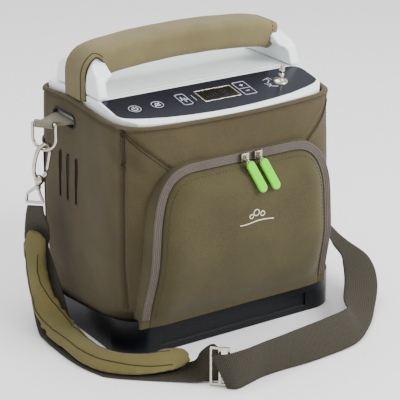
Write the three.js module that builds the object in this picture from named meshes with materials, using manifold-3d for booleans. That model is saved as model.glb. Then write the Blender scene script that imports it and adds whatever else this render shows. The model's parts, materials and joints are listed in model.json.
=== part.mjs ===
// A portable oxygen concentrator in its fabric carry case, with the shoulder strap laid round it.
// Row frame: X to the right, Y to the back, Z up, origin under the middle of the boot. Millimetres.
import * as THREE from "three";
import { mergeVertices } from "three/addons/utils/BufferGeometryUtils.js";
import Module from "manifold-3d";

const wasm = await Module();
wasm.setup();

// ---- Driving dimensions ----
const GAP = 0.4; // clearance between neighbouring pieces

const BOOT_WIDTH = 268; // moulded tray under the case
const BOOT_DEPTH = 194;
const BOOT_CORNER = 30;
const BOOT_WALL = 4;
const BOOT_FRONT_WALL = 7;
const BOOT_FLOOR = 4;
const BOOT_FRONT_EDGE = 30;
const BOOT_CORNER_EDGE = 39;
const BOOT_SIDE_EDGE = 26;
const BOOT_BACK_EDGE = 36;
const RECESS_DEPTH = 2.5; // long recess in the boot's front
const RECESS_LOW = 7;
const RECESS_HIGH = 22;

const RIM_HEIGHT = 243; // fabric sleeve
const RIM_LIFT = 5;
const SLEEVE_BULGE = 3;
const BACK_CORNER = 24;
const FABRIC = 4;

const POCKET_BOTTOM = 31; // front pocket
const POCKET_TOP = 203;
const POCKET_DOME = 12;
const TAPE_THICKNESS = 1.6;
const PULL_LENGTH = 36;
const PULL_WIDTH = 9.5;
const SLIDER_LEFT_X = -2;
const SLIDER_RIGHT_X = 14;
const PULL_LEAN = 0.42; // the pulls hang askew

const COVER_TOP = 255; // white top cover and control panel
const COVER_BOTTOM = 236;
const COVER_WALL = 3;
const PANEL_TILT = THREE.MathUtils.degToRad(10.7);
const PANEL_THICKNESS = 3;
const ROUND_KEY_RADIUS = 7.5;
const LCD_WIDTH = 44;
const LCD_DEPTH = 24;

const HANDLE_TOP = 303; // white handle, without its fabric wrap
const GRIP_HEIGHT = 22;
const GRIP_HALF_DEPTH = 18;
const LEG_THICKNESS = 12;
const WRAP = 4;
const GRIP_Y = 12;

const HOUSING_WALL = 2.5; // machine inside the case
const HOUSING_BOTTOM = 34;
const BED_RADIUS = 18;
const FAN_RADIUS = 35;
const BATTERY_WIDTH = 190;
const BATTERY_DEPTH = 120;
const BATTERY_HEIGHT = 24;

const WEBBING = 38; // strap webbing and its fittings
const WEBBING_THICKNESS = 2;
const WIRE = 1.8;
const HOOK_WIRE = 2.2;
const PAD_WIDTH = 36;
const PAD_THICKNESS = 12;

// ---- Sizes that follow from them ----
const HALF_WIDTH = BOOT_WIDTH / 2;
const HALF_DEPTH = BOOT_DEPTH / 2;
const CASE_HALF = HALF_WIDTH - 6;
const CASE_BACK = HALF_DEPTH - 7;
const CASE_FRONT = -HALF_DEPTH - 8;
const SLEEVE_START = BOOT_CORNER_EDGE + 2; // below this height the sleeve stands inside the boot
const OUTLINE_POINTS = 44;

// ---- Small tools ----
const V = (x, y, z) => new THREE.Vector3(x, y, z);

function toSolid(geometry) {
  const plain = geometry.index ? geometry.toNonIndexed() : geometry.clone();
  for (const name of Object.keys(plain.attributes)) {
    if (name !== "position") plain.deleteAttribute(name);
  }
  const merged = mergeVertices(plain, 1e-4);
  const triVerts = new Uint32Array(merged.index.array);
  const vertProperties = new Float32Array(merged.attributes.position.array);
  return new wasm.Manifold(new wasm.Mesh({ numProp: 3, vertProperties, triVerts }));
}

function toGeometry(solid) {
  const mesh = solid.getMesh();
  const geometry = new THREE.BufferGeometry();
  geometry.setAttribute("position", new THREE.BufferAttribute(mesh.vertProperties, 3));
  geometry.setIndex(new THREE.BufferAttribute(mesh.triVerts, 1));
  geometry.computeVertexNormals();
  return geometry;
}

function block(low, high) {
  const size = high.clone().sub(low);
  const middle = high.clone().add(low).multiplyScalar(0.5);
  return toSolid(new THREE.BoxGeometry(size.x, size.y, size.z).translate(middle.x, middle.y, middle.z));
}

function rod(from, to, radius, sides = 12) {
  const along = to.clone().sub(from);
  const geometry = new THREE.CylinderGeometry(radius, radius, along.length(), sides);
  const turn = new THREE.Quaternion().setFromUnitVectors(V(0, 1, 0), along.clone().normalize());
  geometry.applyQuaternion(turn);
  const middle = from.clone().add(to).multiplyScalar(0.5);
  return toSolid(geometry.translate(middle.x, middle.y, middle.z));
}

// A profile of [radius, height] points turned about the Z axis. It starts and ends on the axis.
function turned(profile, segments = 16) {
  const points = profile.map(([radius, height]) => new THREE.Vector2(radius, height));
  return toSolid(new THREE.LatheGeometry(points, segments).rotateX(Math.PI / 2));
}

// A round wire along a smooth curve through the points.
function wire(points, radius, steps, sides = 8) {
  const section = new THREE.Shape();
  section.absarc(0, 0, radius, 0, 2 * Math.PI, false);
  const options = {
    steps,
    curveSegments: sides / 2,
    bevelEnabled: false,
    extrudePath: new THREE.CatmullRomCurve3(points),
  };
  return toSolid(new THREE.ExtrudeGeometry(section, options));
}

// A flat outline in X and Z, pushed along Y from one depth to another.
function slabY(shape, from, to, curveSegments = 8) {
  const options = { depth: to - from, bevelEnabled: false, curveSegments };
  const geometry = new THREE.ExtrudeGeometry(shape, options);
  return toSolid(geometry.rotateX(Math.PI / 2).translate(0, to, 0));
}

// A flat outline in Y and Z, pushed along X.
function slabX(points, from, to) {
  const shape = new THREE.Shape(points.map(([y, z]) => new THREE.Vector2(y, z)));
  const geometry = new THREE.ExtrudeGeometry(shape, { depth: to - from, bevelEnabled: false });
  geometry.rotateZ(Math.PI / 2).rotateY(Math.PI / 2);
  return toSolid(geometry.translate(from, 0, 0));
}

// A flat outline in X and Y, pushed up along Z.
function slabZ(shape, from, to, curveSegments = 8) {
  const options = { depth: to - from, bevelEnabled: false, curveSegments };
  return toSolid(new THREE.ExtrudeGeometry(shape, options).translate(0, 0, from));
}

const polygon = (points) => new THREE.Shape(points.map(([x, y]) => new THREE.Vector2(x, y)));

// A closed skin over rings of equally many points, with a flat fan over each end.
function loft(rings) {
  const count = rings[0].length;
  const points = rings.flat();
  const middleOf = (ring) =>
    ring.reduce((sum, point) => sum.add(point), V(0, 0, 0)).divideScalar(count);
  const first = points.push(middleOf(rings[0])) - 1;
  const last = points.push(middleOf(rings.at(-1))) - 1;
  const faces = [];
  for (let i = 0; i < count; i++) {
    const next = (i + 1) % count;
    faces.push(first, next, i);
    const top = (rings.length - 1) * count;
    faces.push(last, top + i, top + next);
    for (let r = 0; r + 1 < rings.length; r++) {
      const low = r * count;
      const high = low + count;
      faces.push(low + i, low + next, high + next);
      faces.push(low + i, high + next, high + i);
    }
  }
  let volume = 0;
  for (let f = 0; f < faces.length; f += 3) {
    const [a, b, c] = [points[faces[f]], points[faces[f + 1]], points[faces[f + 2]]];
    volume += a.dot(b.clone().cross(c));
  }
  if (volume < 0) faces.reverse();
  const geometry = new THREE.BufferGeometry().setFromPoints(points);
  geometry.setIndex(faces);
  return toSolid(geometry);
}

// A flat band along a route: each station is its middle and the direction of its width. The
// band has several points across, so that it can twist without its two faces crossing.
const BAND_COLUMNS = 4;

function band(stations, width, thickness) {
  const rings = stations.map(([middle, across], i) => {
    const before = stations[Math.max(i - 1, 0)][0];
    const after = stations[Math.min(i + 1, stations.length - 1)][0];
    const along = after.clone().sub(before).normalize();
    const side = across.clone().normalize();
    const face = along.clone().cross(side).normalize();
    const corner = (a, b) =>
      middle.clone().addScaledVector(side, (a * width) / 2).addScaledVector(face, (b * thickness) / 2);
    const lower = Array.from({ length: BAND_COLUMNS + 1 }, (_, k) => corner((2 * k) / BAND_COLUMNS - 1, -1));
    const upper = Array.from({ length: BAND_COLUMNS + 1 }, (_, k) => corner(1 - (2 * k) / BAND_COLUMNS, 1));
    return [...lower, ...upper];
  });
  return loft(rings);
}

// Extra stations on a smooth curve between the chosen ones.
function smoothed(stations, steps) {
  const middles = new THREE.CatmullRomCurve3(stations.map(([middle]) => middle));
  const widths = new THREE.CatmullRomCurve3(stations.map(([, across]) => across));
  return Array.from({ length: steps + 1 }, (_, i) => {
    const t = i / steps;
    return [middles.getPoint(t), widths.getPoint(t).normalize()];
  });
}

// ---- Finishes ----
const FINISHES = {
  neoprene: { color: 0x78704f, roughness: 0.9, metalness: 0 },
  zip_tape: { color: 0x5c564a, roughness: 0.85, metalness: 0 },
  binding: { color: 0x1a1815, roughness: 0.8, metalness: 0 },
  boot_plastic: { color: 0x12131a, roughness: 0.4, metalness: 0 },
  white_plastic: { color: 0xdde6e8, roughness: 0.35, metalness: 0 },
  panel_gloss: { color: 0x1c1e2d, roughness: 0.15, metalness: 0 },
  key_film: { color: 0x1e2130, roughness: 0.2, metalness: 0 },
  display_glass: { color: 0x0c0f0c, roughness: 0.08, metalness: 0 },
  nickel: { color: 0xa9a99a, roughness: 0.25, metalness: 1 },
  green_rubber: { color: 0x6ef00a, roughness: 0.5, metalness: 0 },
  webbing: { color: 0x5f584b, roughness: 0.9, metalness: 0 },
  machine_plastic: { color: 0x8d9194, roughness: 0.5, metalness: 0 },
  black_plastic: { color: 0x15161a, roughness: 0.5, metalness: 0 },
  cast_alloy: { color: 0x9a9da0, roughness: 0.5, metalness: 0.9 },
  bed_alloy: { color: 0xc4c6c8, roughness: 0.3, metalness: 0.9 },
  circuit_board: { color: 0x1d5a34, roughness: 0.5, metalness: 0 },
  filter_foam: { color: 0x3a3d40, roughness: 1, metalness: 0 },
  steel: { color: 0x7d7f82, roughness: 0.35, metalness: 1 },
};

const concentrator = new THREE.Group();

function add(name, solid, finish, parent = concentrator) {
  const mesh = new THREE.Mesh(toGeometry(solid), new THREE.MeshStandardMaterial(FINISHES[finish]));
  mesh.name = name;
  parent.add(mesh);
  return mesh;
}

// ---- Plan outlines of the case ----

// Bowed front, big soft front corners and round back corners, anticlockwise from the middle of the back.
function planOutline({ half, front, shoulder, back, corner }) {
  const shoulderX = 0.75 * half;
  const path = new THREE.Path();
  path.moveTo(0, back);
  path.lineTo(corner - half, back);
  path.absarc(corner - half, back - corner, corner, Math.PI / 2, Math.PI, false);
  path.lineTo(-half, shoulder / 2);
  path.bezierCurveTo(-half, 0.82 * shoulder, -0.92 * half, 0.95 * shoulder, -shoulderX, shoulder);
  path.quadraticCurveTo(0, 2 * front - shoulder, shoulderX, shoulder);
  path.bezierCurveTo(0.92 * half, 0.95 * shoulder, half, 0.82 * shoulder, half, shoulder / 2);
  path.lineTo(half, back - corner);
  path.absarc(half - corner, back - corner, corner, 0, Math.PI / 2, false);
  path.lineTo(0, back);
  return path.getSpacedPoints(OUTLINE_POINTS).slice(0, -1);
}

const UPPER_PLAN = planOutline({
  half: CASE_HALF,
  front: CASE_FRONT,
  shoulder: -HALF_DEPTH,
  back: CASE_BACK,
  corner: BACK_CORNER,
});

const LOWER_PLAN = planOutline({
  half: HALF_WIDTH - BOOT_WALL - 2,
  front: BOOT_FRONT_WALL + 2 - HALF_DEPTH,
  shoulder: BOOT_FRONT_WALL + 3 - HALF_DEPTH,
  back: HALF_DEPTH - BOOT_WALL - 2,
  corner: BACK_CORNER,
});

// One ring of a loft: the outline moved outwards by grow, at a height that may depend on the place.
function ringAt(outline, grow, height) {
  return outline.map((point, i) => {
    const before = outline.at(i - 1);
    const after = outline[(i + 1) % outline.length];
    const run = after.clone().sub(before).normalize();
    const x = point.x + run.y * grow;
    const y = point.y - run.x * grow;
    return V(x, y, typeof height === "function" ? height(x, y) : height);
  });
}

// The space inside the sleeve's outer face, moved outwards by grow.
// The soft fabric bulges in the middle, the housing doesn't.
function caseEnvelope(grow, bottom, top, bulge = SLEEVE_BULGE) {
  return loft([
    ringAt(LOWER_PLAN, grow, bottom),
    ringAt(LOWER_PLAN, grow, SLEEVE_START),
    ringAt(UPPER_PLAN, grow - 1, SLEEVE_START + 9),
    ringAt(UPPER_PLAN, grow + bulge, 0.4 * RIM_HEIGHT),
    ringAt(UPPER_PLAN, grow + bulge, 0.65 * RIM_HEIGHT),
    ringAt(UPPER_PLAN, grow + bulge / 3, 0.9 * RIM_HEIGHT),
    ringAt(UPPER_PLAN, grow, top),
  ]);
}

// The rim rises at the sides, beside the handle.
function rimHeight(x, y) {
  const side = THREE.MathUtils.smoothstep(Math.abs(x), 0.7 * CASE_HALF, CASE_HALF);
  return RIM_HEIGHT + RIM_LIFT * side * Math.exp(-(((y - 20) / 45) ** 2));
}

// ---- Boot ----
function roundedRectangle(width, depth, corner, middleY = 0) {
  const [w, d] = [width / 2, depth / 2];
  const shape = new THREE.Shape();
  shape.moveTo(w, middleY - d + corner);
  shape.absarc(w - corner, middleY + d - corner, corner, 0, Math.PI / 2, false);
  shape.absarc(corner - w, middleY + d - corner, corner, Math.PI / 2, Math.PI, false);
  shape.absarc(corner - w, middleY - d + corner, corner, Math.PI, 1.5 * Math.PI, false);
  shape.absarc(w - corner, middleY - d + corner, corner, 1.5 * Math.PI, 2 * Math.PI, false);
  return shape;
}

const SCREW_X = HALF_WIDTH - 26;
const SCREW_Y = HALF_DEPTH - 26;
const SCREW_HEAD = 3.2;
const SCREW_RADIUS = 4;
const SCREW_PLACES = [
  [-SCREW_X, -SCREW_Y],
  [SCREW_X, -SCREW_Y],
  [-SCREW_X, SCREW_Y],
  [SCREW_X, SCREW_Y],
];
const BATTERY_BOTTOM = BOOT_FLOOR + GAP + 0.2;
const BATTERY_TOP = BATTERY_BOTTOM + BATTERY_HEIGHT;

// The way out for the battery at the back.
function batteryWay(clearance) {
  const half = BATTERY_WIDTH / 2 + clearance;
  return block(V(-half, 0.7 * HALF_DEPTH, BOOT_FLOOR), V(half, HALF_DEPTH + 1, BATTERY_TOP + clearance));
}

function makeBoot() {
  const high = BOOT_CORNER_EDGE;
  const over = high + 30;
  const outer = slabZ(roundedRectangle(BOOT_WIDTH, BOOT_DEPTH, BOOT_CORNER), 0, high, 6);
  const cavity = roundedRectangle(
    BOOT_WIDTH - 2 * BOOT_WALL,
    BOOT_DEPTH - BOOT_WALL - BOOT_FRONT_WALL,
    BOOT_CORNER - BOOT_WALL,
    (BOOT_FRONT_WALL - BOOT_WALL) / 2,
  );
  let boot = outer.subtract(slabZ(cavity, BOOT_FLOOR, over, 6));
  // The edge dips along the front and the back, and slopes down towards the back on the sides.
  const dip = (edge, flat, slope) =>
    polygon([
      [-flat - slope, high + 1],
      [-flat, edge],
      [flat, edge],
      [flat + slope, high + 1],
      [flat + slope, over],
      [-flat - slope, over],
    ]);
  const front = dip(BOOT_FRONT_EDGE, 0.62 * HALF_WIDTH, 22);
  const back = dip(BOOT_BACK_EDGE, 0.66 * HALF_WIDTH, 12);
  boot = boot.subtract(slabY(front, -HALF_DEPTH - 1, -0.6 * HALF_DEPTH));
  boot = boot.subtract(slabY(back, 0.6 * HALF_DEPTH, HALF_DEPTH + 1));
  const side = [
    [-0.8 * HALF_DEPTH, high + 1],
    [-0.5 * HALF_DEPTH, high - 6],
    [0.25 * HALF_DEPTH, BOOT_SIDE_EDGE],
    [0.6 * HALF_DEPTH, BOOT_SIDE_EDGE],
    [0.85 * HALF_DEPTH, high + 1],
    [0.85 * HALF_DEPTH, over],
    [-0.8 * HALF_DEPTH, over],
  ];
  const sideEdge = 0.8 * HALF_WIDTH;
  boot = boot.subtract(slabX(side, -HALF_WIDTH - 1, -sideEdge));
  boot = boot.subtract(slabX(side, sideEdge, HALF_WIDTH + 1));
  // Long recess along the front.
  const recessHalf = 0.68 * HALF_WIDTH;
  const recessBack = RECESS_DEPTH - HALF_DEPTH;
  boot = boot.subtract(
    block(V(-recessHalf, -HALF_DEPTH - 1, RECESS_LOW), V(recessHalf, recessBack, RECESS_HIGH)),
  );
  boot = boot.subtract(batteryWay(1));
  for (const [x, y] of SCREW_PLACES) {
    boot = boot.subtract(rod(V(x, y, -1), V(x, y, SCREW_HEAD), SCREW_RADIUS + GAP));
  }
  add("boot_tray", boot, "boot_plastic");
  SCREW_PLACES.forEach(([x, y], i) => {
    const head = rod(V(x, y, 0.4), V(x, y, SCREW_HEAD - GAP), SCREW_RADIUS);
    const socket = rod(V(x, y, 0), V(x, y, 1.8), 1.8, 6);
    add(`boot_screw_${i + 1}`, head.subtract(socket), "steel");
  });
}

// ---- Battery, which slides out to the back ----
const LATCH_TRAVEL = 6;

function makeBattery() {
  const back = HALF_DEPTH;
  const front = back - BATTERY_DEPTH;
  const outline = roundedRectangle(BATTERY_WIDTH, BATTERY_DEPTH, 5, (front + back) / 2);
  let pack = slabZ(outline, BATTERY_BOTTOM, BATTERY_TOP, 3);
  const lip = block(V(-40, back - 2, BATTERY_TOP - 5), V(40, back + 3, BATTERY_TOP - 1));
  pack = pack.add(lip);
  pack = pack.subtract(block(V(-22, back - 4, 7), V(-22 + 40 + LATCH_TRAVEL, back + 1, 17)));
  add("battery_pack", pack, "black_plastic");
  const latch = block(V(-21, back - 3.6, 7.6), V(17, back - 0.2, 16.4));
  const ribs = [-8, -2, 4].map((x) => block(V(x, back - 1, 8.4), V(x + 3, back + 1, 15.6)));
  add("battery_latch", ribs.reduce((sum, rib) => sum.add(rib), latch), "green_rubber");
}

// ---- Fabric sleeve ----
const SLIT_PLACES = [2.5, 20, 36];
const SLIT_WIDTH = 3.5;
const SLIT_LOW = 136;
const SLIT_HIGH = 186;
const TAB_SLOT = { y: 27, z: 223, length: 46, height: 14 };
const VENT = {
  low: 84,
  high: 186,
  from: 100,
  to: 168,
  x: BACK_CORNER - CASE_HALF,
  y: CASE_BACK - BACK_CORNER,
};
const INLET = { x: 70, z: 70, width: 24, height: 20 };

// An upright sector about the back-left corner's own centre, between two angles in degrees.
function cornerSector(inner, outer, from, to, low, high) {
  const [a, b] = [THREE.MathUtils.degToRad(from), THREE.MathUtils.degToRad(to)];
  const shape = new THREE.Shape();
  shape.absarc(VENT.x, VENT.y, outer, a, b, false);
  shape.absarc(VENT.x, VENT.y, inner, b, a, true);
  return slabZ(shape, low, high, 5);
}

const ventCut = () =>
  cornerSector(BACK_CORNER - 16, BACK_CORNER + 20, VENT.from - 3, VENT.to + 5, VENT.low - 2, VENT.high + 2);

function tabSlot(side) {
  const box = new THREE.BoxGeometry(40, TAB_SLOT.length, TAB_SLOT.height);
  return toSolid(box.translate(side * CASE_HALF, TAB_SLOT.y, TAB_SLOT.z));
}

function slits(side, inner) {
  const [a, b] = [side * inner, side * (HALF_WIDTH + 5)];
  return SLIT_PLACES.map((y) =>
    block(
      V(Math.min(a, b), y - SLIT_WIDTH / 2, SLIT_LOW),
      V(Math.max(a, b), y + SLIT_WIDTH / 2, SLIT_HIGH),
    ),
  );
}

function inletHole(grow) {
  const [w, h] = [INLET.width / 2 + grow, INLET.height / 2 + grow];
  return block(V(INLET.x - w, 0.6 * HALF_DEPTH, INLET.z - h), V(INLET.x + w, HALF_DEPTH + 9, INLET.z + h));
}

function makeSleeve() {
  const bottom = BOOT_FLOOR + 3;
  const outer = caseEnvelope(0, bottom, rimHeight);
  const inner = caseEnvelope(-FABRIC, bottom - 1, RIM_HEIGHT + 30);
  const cuts = [
    inner,
    tabSlot(-1),
    tabSlot(1),
    ...slits(-1, CASE_HALF - 12),
    ...slits(1, CASE_HALF - 12),
    inletHole(0),
    batteryWay(1.5),
    ventCut(),
  ];
  add("carry_sleeve", cuts.reduce((solid, cut) => solid.subtract(cut), outer), "neoprene");
  const [near, far] = [BACK_CORNER - 14, BACK_CORNER + 20];
  const frame = cornerSector(
    BACK_CORNER - 3.5,
    BACK_CORNER + 4,
    VENT.from - 1,
    VENT.to + 3,
    VENT.low - 1,
    VENT.high + 1,
  );
  const window = cornerSector(near, far, VENT.from + 5, VENT.to - 3, VENT.low + 4, VENT.high - 4);
  add("vent_binding", frame.subtract(window), "binding");
  let grille = cornerSector(
    BACK_CORNER - 4.2,
    BACK_CORNER - 1.8,
    VENT.from + 6,
    VENT.to - 4,
    VENT.low + 5,
    VENT.high - 5,
  );
  const pitch = 15;
  for (let z = VENT.low + 12; z < VENT.high - 12; z += pitch) {
    grille = grille.subtract(cornerSector(near, far, VENT.from + 14, VENT.to - 12, z, z + pitch / 2));
  }
  add("vent_grille", grille, "black_plastic");
  // A small pull that hangs at the lower end of the vent's binding.
  const pull = band(
    [
      [V(VENT.x - 29, VENT.y + 12, VENT.low - 3), V(0.4, 0.92, 0)],
      [V(VENT.x - 31, VENT.y + 12, VENT.low - 10), V(0.4, 0.92, 0)],
      [V(VENT.x - 31, VENT.y + 12, VENT.low - 20), V(0.4, 0.92, 0)],
    ],
    7,
    2.5,
  );
  add("vent_pull", pull, "green_rubber");
}

// ---- Front pocket, its zip tape, sliders and pulls ----
const POCKET_HALF = HALF_WIDTH - 18;
const POCKET_MIDDLE = 0.5 * (POCKET_BOTTOM + POCKET_TOP);

function pocketArch() {
  const [w, low, high] = [POCKET_HALF, POCKET_BOTTOM, POCKET_TOP];
  const rise = high - low;
  const path = new THREE.Path();
  path.moveTo(-w, low);
  path.lineTo(-w + 7, low + 0.62 * rise);
  path.bezierCurveTo(-w + 10, low + 0.9 * rise, -w + 28, high, -0.5 * w, high);
  path.lineTo(0.5 * w, high);
  path.bezierCurveTo(w - 28, high, w - 10, low + 0.9 * rise, w - 7, low + 0.62 * rise);
  path.lineTo(w, low);
  return path.getSpacedPoints(36);
}

const ARCH = pocketArch();

// How far forward the pocket's ledge stands at a height.
function ledge(z) {
  const rise = THREE.MathUtils.smoothstep(z, POCKET_BOTTOM, 0.45 * RIM_HEIGHT);
  const fall = THREE.MathUtils.smoothstep(z, 0.62 * RIM_HEIGHT, POCKET_TOP);
  return HALF_DEPTH + 1 + 14 * rise - 3 * fall;
}

function archRing(share, forward) {
  return ARCH.map((point) => {
    const z = POCKET_MIDDLE + (point.y - POCKET_MIDDLE) * share;
    return V(point.x * share, -ledge(z) - forward, z);
  });
}

function makePocket() {
  const back = ARCH.map((point) => V(point.x, -0.65 * HALF_DEPTH, point.y));
  let pocket = loft([
    back,
    archRing(1, 0),
    archRing(0.9, 0),
    archRing(0.89, 3),
    archRing(0.83, 0.7 * POCKET_DOME),
    archRing(0.65, POCKET_DOME),
    archRing(0.3, POCKET_DOME),
  ]);
  pocket = pocket.subtract(caseEnvelope(GAP, 20, RIM_HEIGHT));
  const bootSpace = roundedRectangle(BOOT_WIDTH + 2 * GAP, BOOT_DEPTH + 2 * GAP, BOOT_CORNER);
  pocket = pocket.subtract(slabZ(bootSpace, -1, BOOT_CORNER_EDGE + GAP, 6));
  add("front_pocket", pocket, "neoprene");

  const [outer, inner] = [0.985, 0.915];
  const near = GAP;
  const far = GAP + TAPE_THICKNESS;
  const edges = [archRing(outer, near), archRing(inner, near), archRing(inner, far), archRing(outer, far)];
  const tape = loft(ARCH.map((_, i) => edges.map((edge) => edge[i])));
  const bootTop = block(V(-200, -200, 0), V(200, 0, BOOT_CORNER_EDGE + 1));
  add("zipper_tape", tape.subtract(bootTop), "zip_tape");

  const share = (outer + inner) / 2;
  const tapeZ = POCKET_MIDDLE + (POCKET_TOP - POCKET_MIDDLE) * share;
  const face = -ledge(tapeZ) - GAP - TAPE_THICKNESS - GAP;
  for (const [side, x] of [["left", SLIDER_LEFT_X], ["right", SLIDER_RIGHT_X]]) {
    const place = new THREE.Group();
    place.position.set(x, face, tapeZ);
    concentrator.add(place);
    const body = block(V(-4.5, -3, -4), V(4.5, 0, 4));
    const bridge = block(V(-1.2, -6.5, -3), V(1.2, -2.5, 3));
    const eye = block(V(-2, -5, -1.2), V(2, -3.6, 1.2));
    add(`zipper_slider_${side}`, body.add(bridge).subtract(eye), "nickel", place);
    const leaf = new THREE.Group();
    leaf.position.set(0, -9, -3);
    leaf.rotation.set(-0.25, -PULL_LEAN, 0);
    place.add(leaf);
    const half = PULL_WIDTH / 2;
    const capsule = new THREE.Shape();
    capsule.absarc(0, -half, half, 0, Math.PI, false);
    capsule.absarc(0, half - PULL_LENGTH, half, Math.PI, 2 * Math.PI, false);
    add(`zipper_pull_${side}`, slabY(capsule, -2, 2, 6), "green_rubber", leaf);
  }
}

// ---- Top cover, control panel and keys ----
const PANEL_BACK = -0.33 * HALF_DEPTH;
const PANEL_HALF = CASE_HALF - 8;
const PANEL_MIDDLE = V(0, -58, 249.9);

// Height of the cover's top over its depth: it slopes up from the front rim, then runs level.
function coverProfile(sink) {
  const front = CASE_FRONT - 20;
  const slope = Math.tan(PANEL_TILT);
  const level = PANEL_MIDDLE.z + slope * (PANEL_BACK - PANEL_MIDDLE.y);
  const at = (y) => level + slope * (y - PANEL_BACK) - sink;
  return [
    [front, 0],
    [front, at(front)],
    [PANEL_BACK, level - sink],
    [0.45 * HALF_DEPTH, level - sink],
    [HALF_DEPTH, level - 9 - sink],
    [HALF_DEPTH, 0],
  ];
}

function panelOutline(grow) {
  const half = PANEL_HALF + grow;
  const back = PANEL_BACK + grow;
  const side = PANEL_MIDDLE.y + 6;
  const front = 0.86 * CASE_FRONT - grow;
  const shape = new THREE.Shape();
  shape.moveTo(-half + 4, back);
  shape.quadraticCurveTo(-half, back, -half, back - 4);
  shape.lineTo(-half, side - 12);
  shape.bezierCurveTo(-half, side - 22, -0.82 * half, 0.9 * front + 3, -0.62 * half, 0.93 * front);
  shape.quadraticCurveTo(0, 1.07 * front, 0.62 * half, 0.93 * front);
  shape.bezierCurveTo(0.82 * half, 0.9 * front + 3, half, side - 22, half, side - 12);
  shape.lineTo(half, back - 14);
  shape.quadraticCurveTo(half, back, half - 14, back);
  return shape;
}

const underCover = (sink) => slabX(coverProfile(sink), -HALF_WIDTH, HALF_WIDTH);
const KEY_DEPTH = 2;

// The keys lie in the panel's plane: x across, y up the slope, from the panel's middle.
const ROUND_KEYS = [
  ["power_key", -96, 0],
  ["alarm_key", -70, 0],
];
const MODE_KEY = { x: -39, half: 6, end: 12 };
const SPLIT_KEYS = { x: 34.5, half: 6, end: 12, split: 0.5 };
const LCD_X = 1.5;
const OUTLET = { x: 80, y: 0 };

const keyRectangle = (x, low, high, half) =>
  polygon([
    [x - half, low + 2],
    [x - half + 2, low],
    [x + half - 2, low],
    [x + half, low + 2],
    [x + half, high - 2],
    [x + half - 2, high],
    [x - half + 2, high],
    [x - half, high - 2],
  ]);

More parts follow.
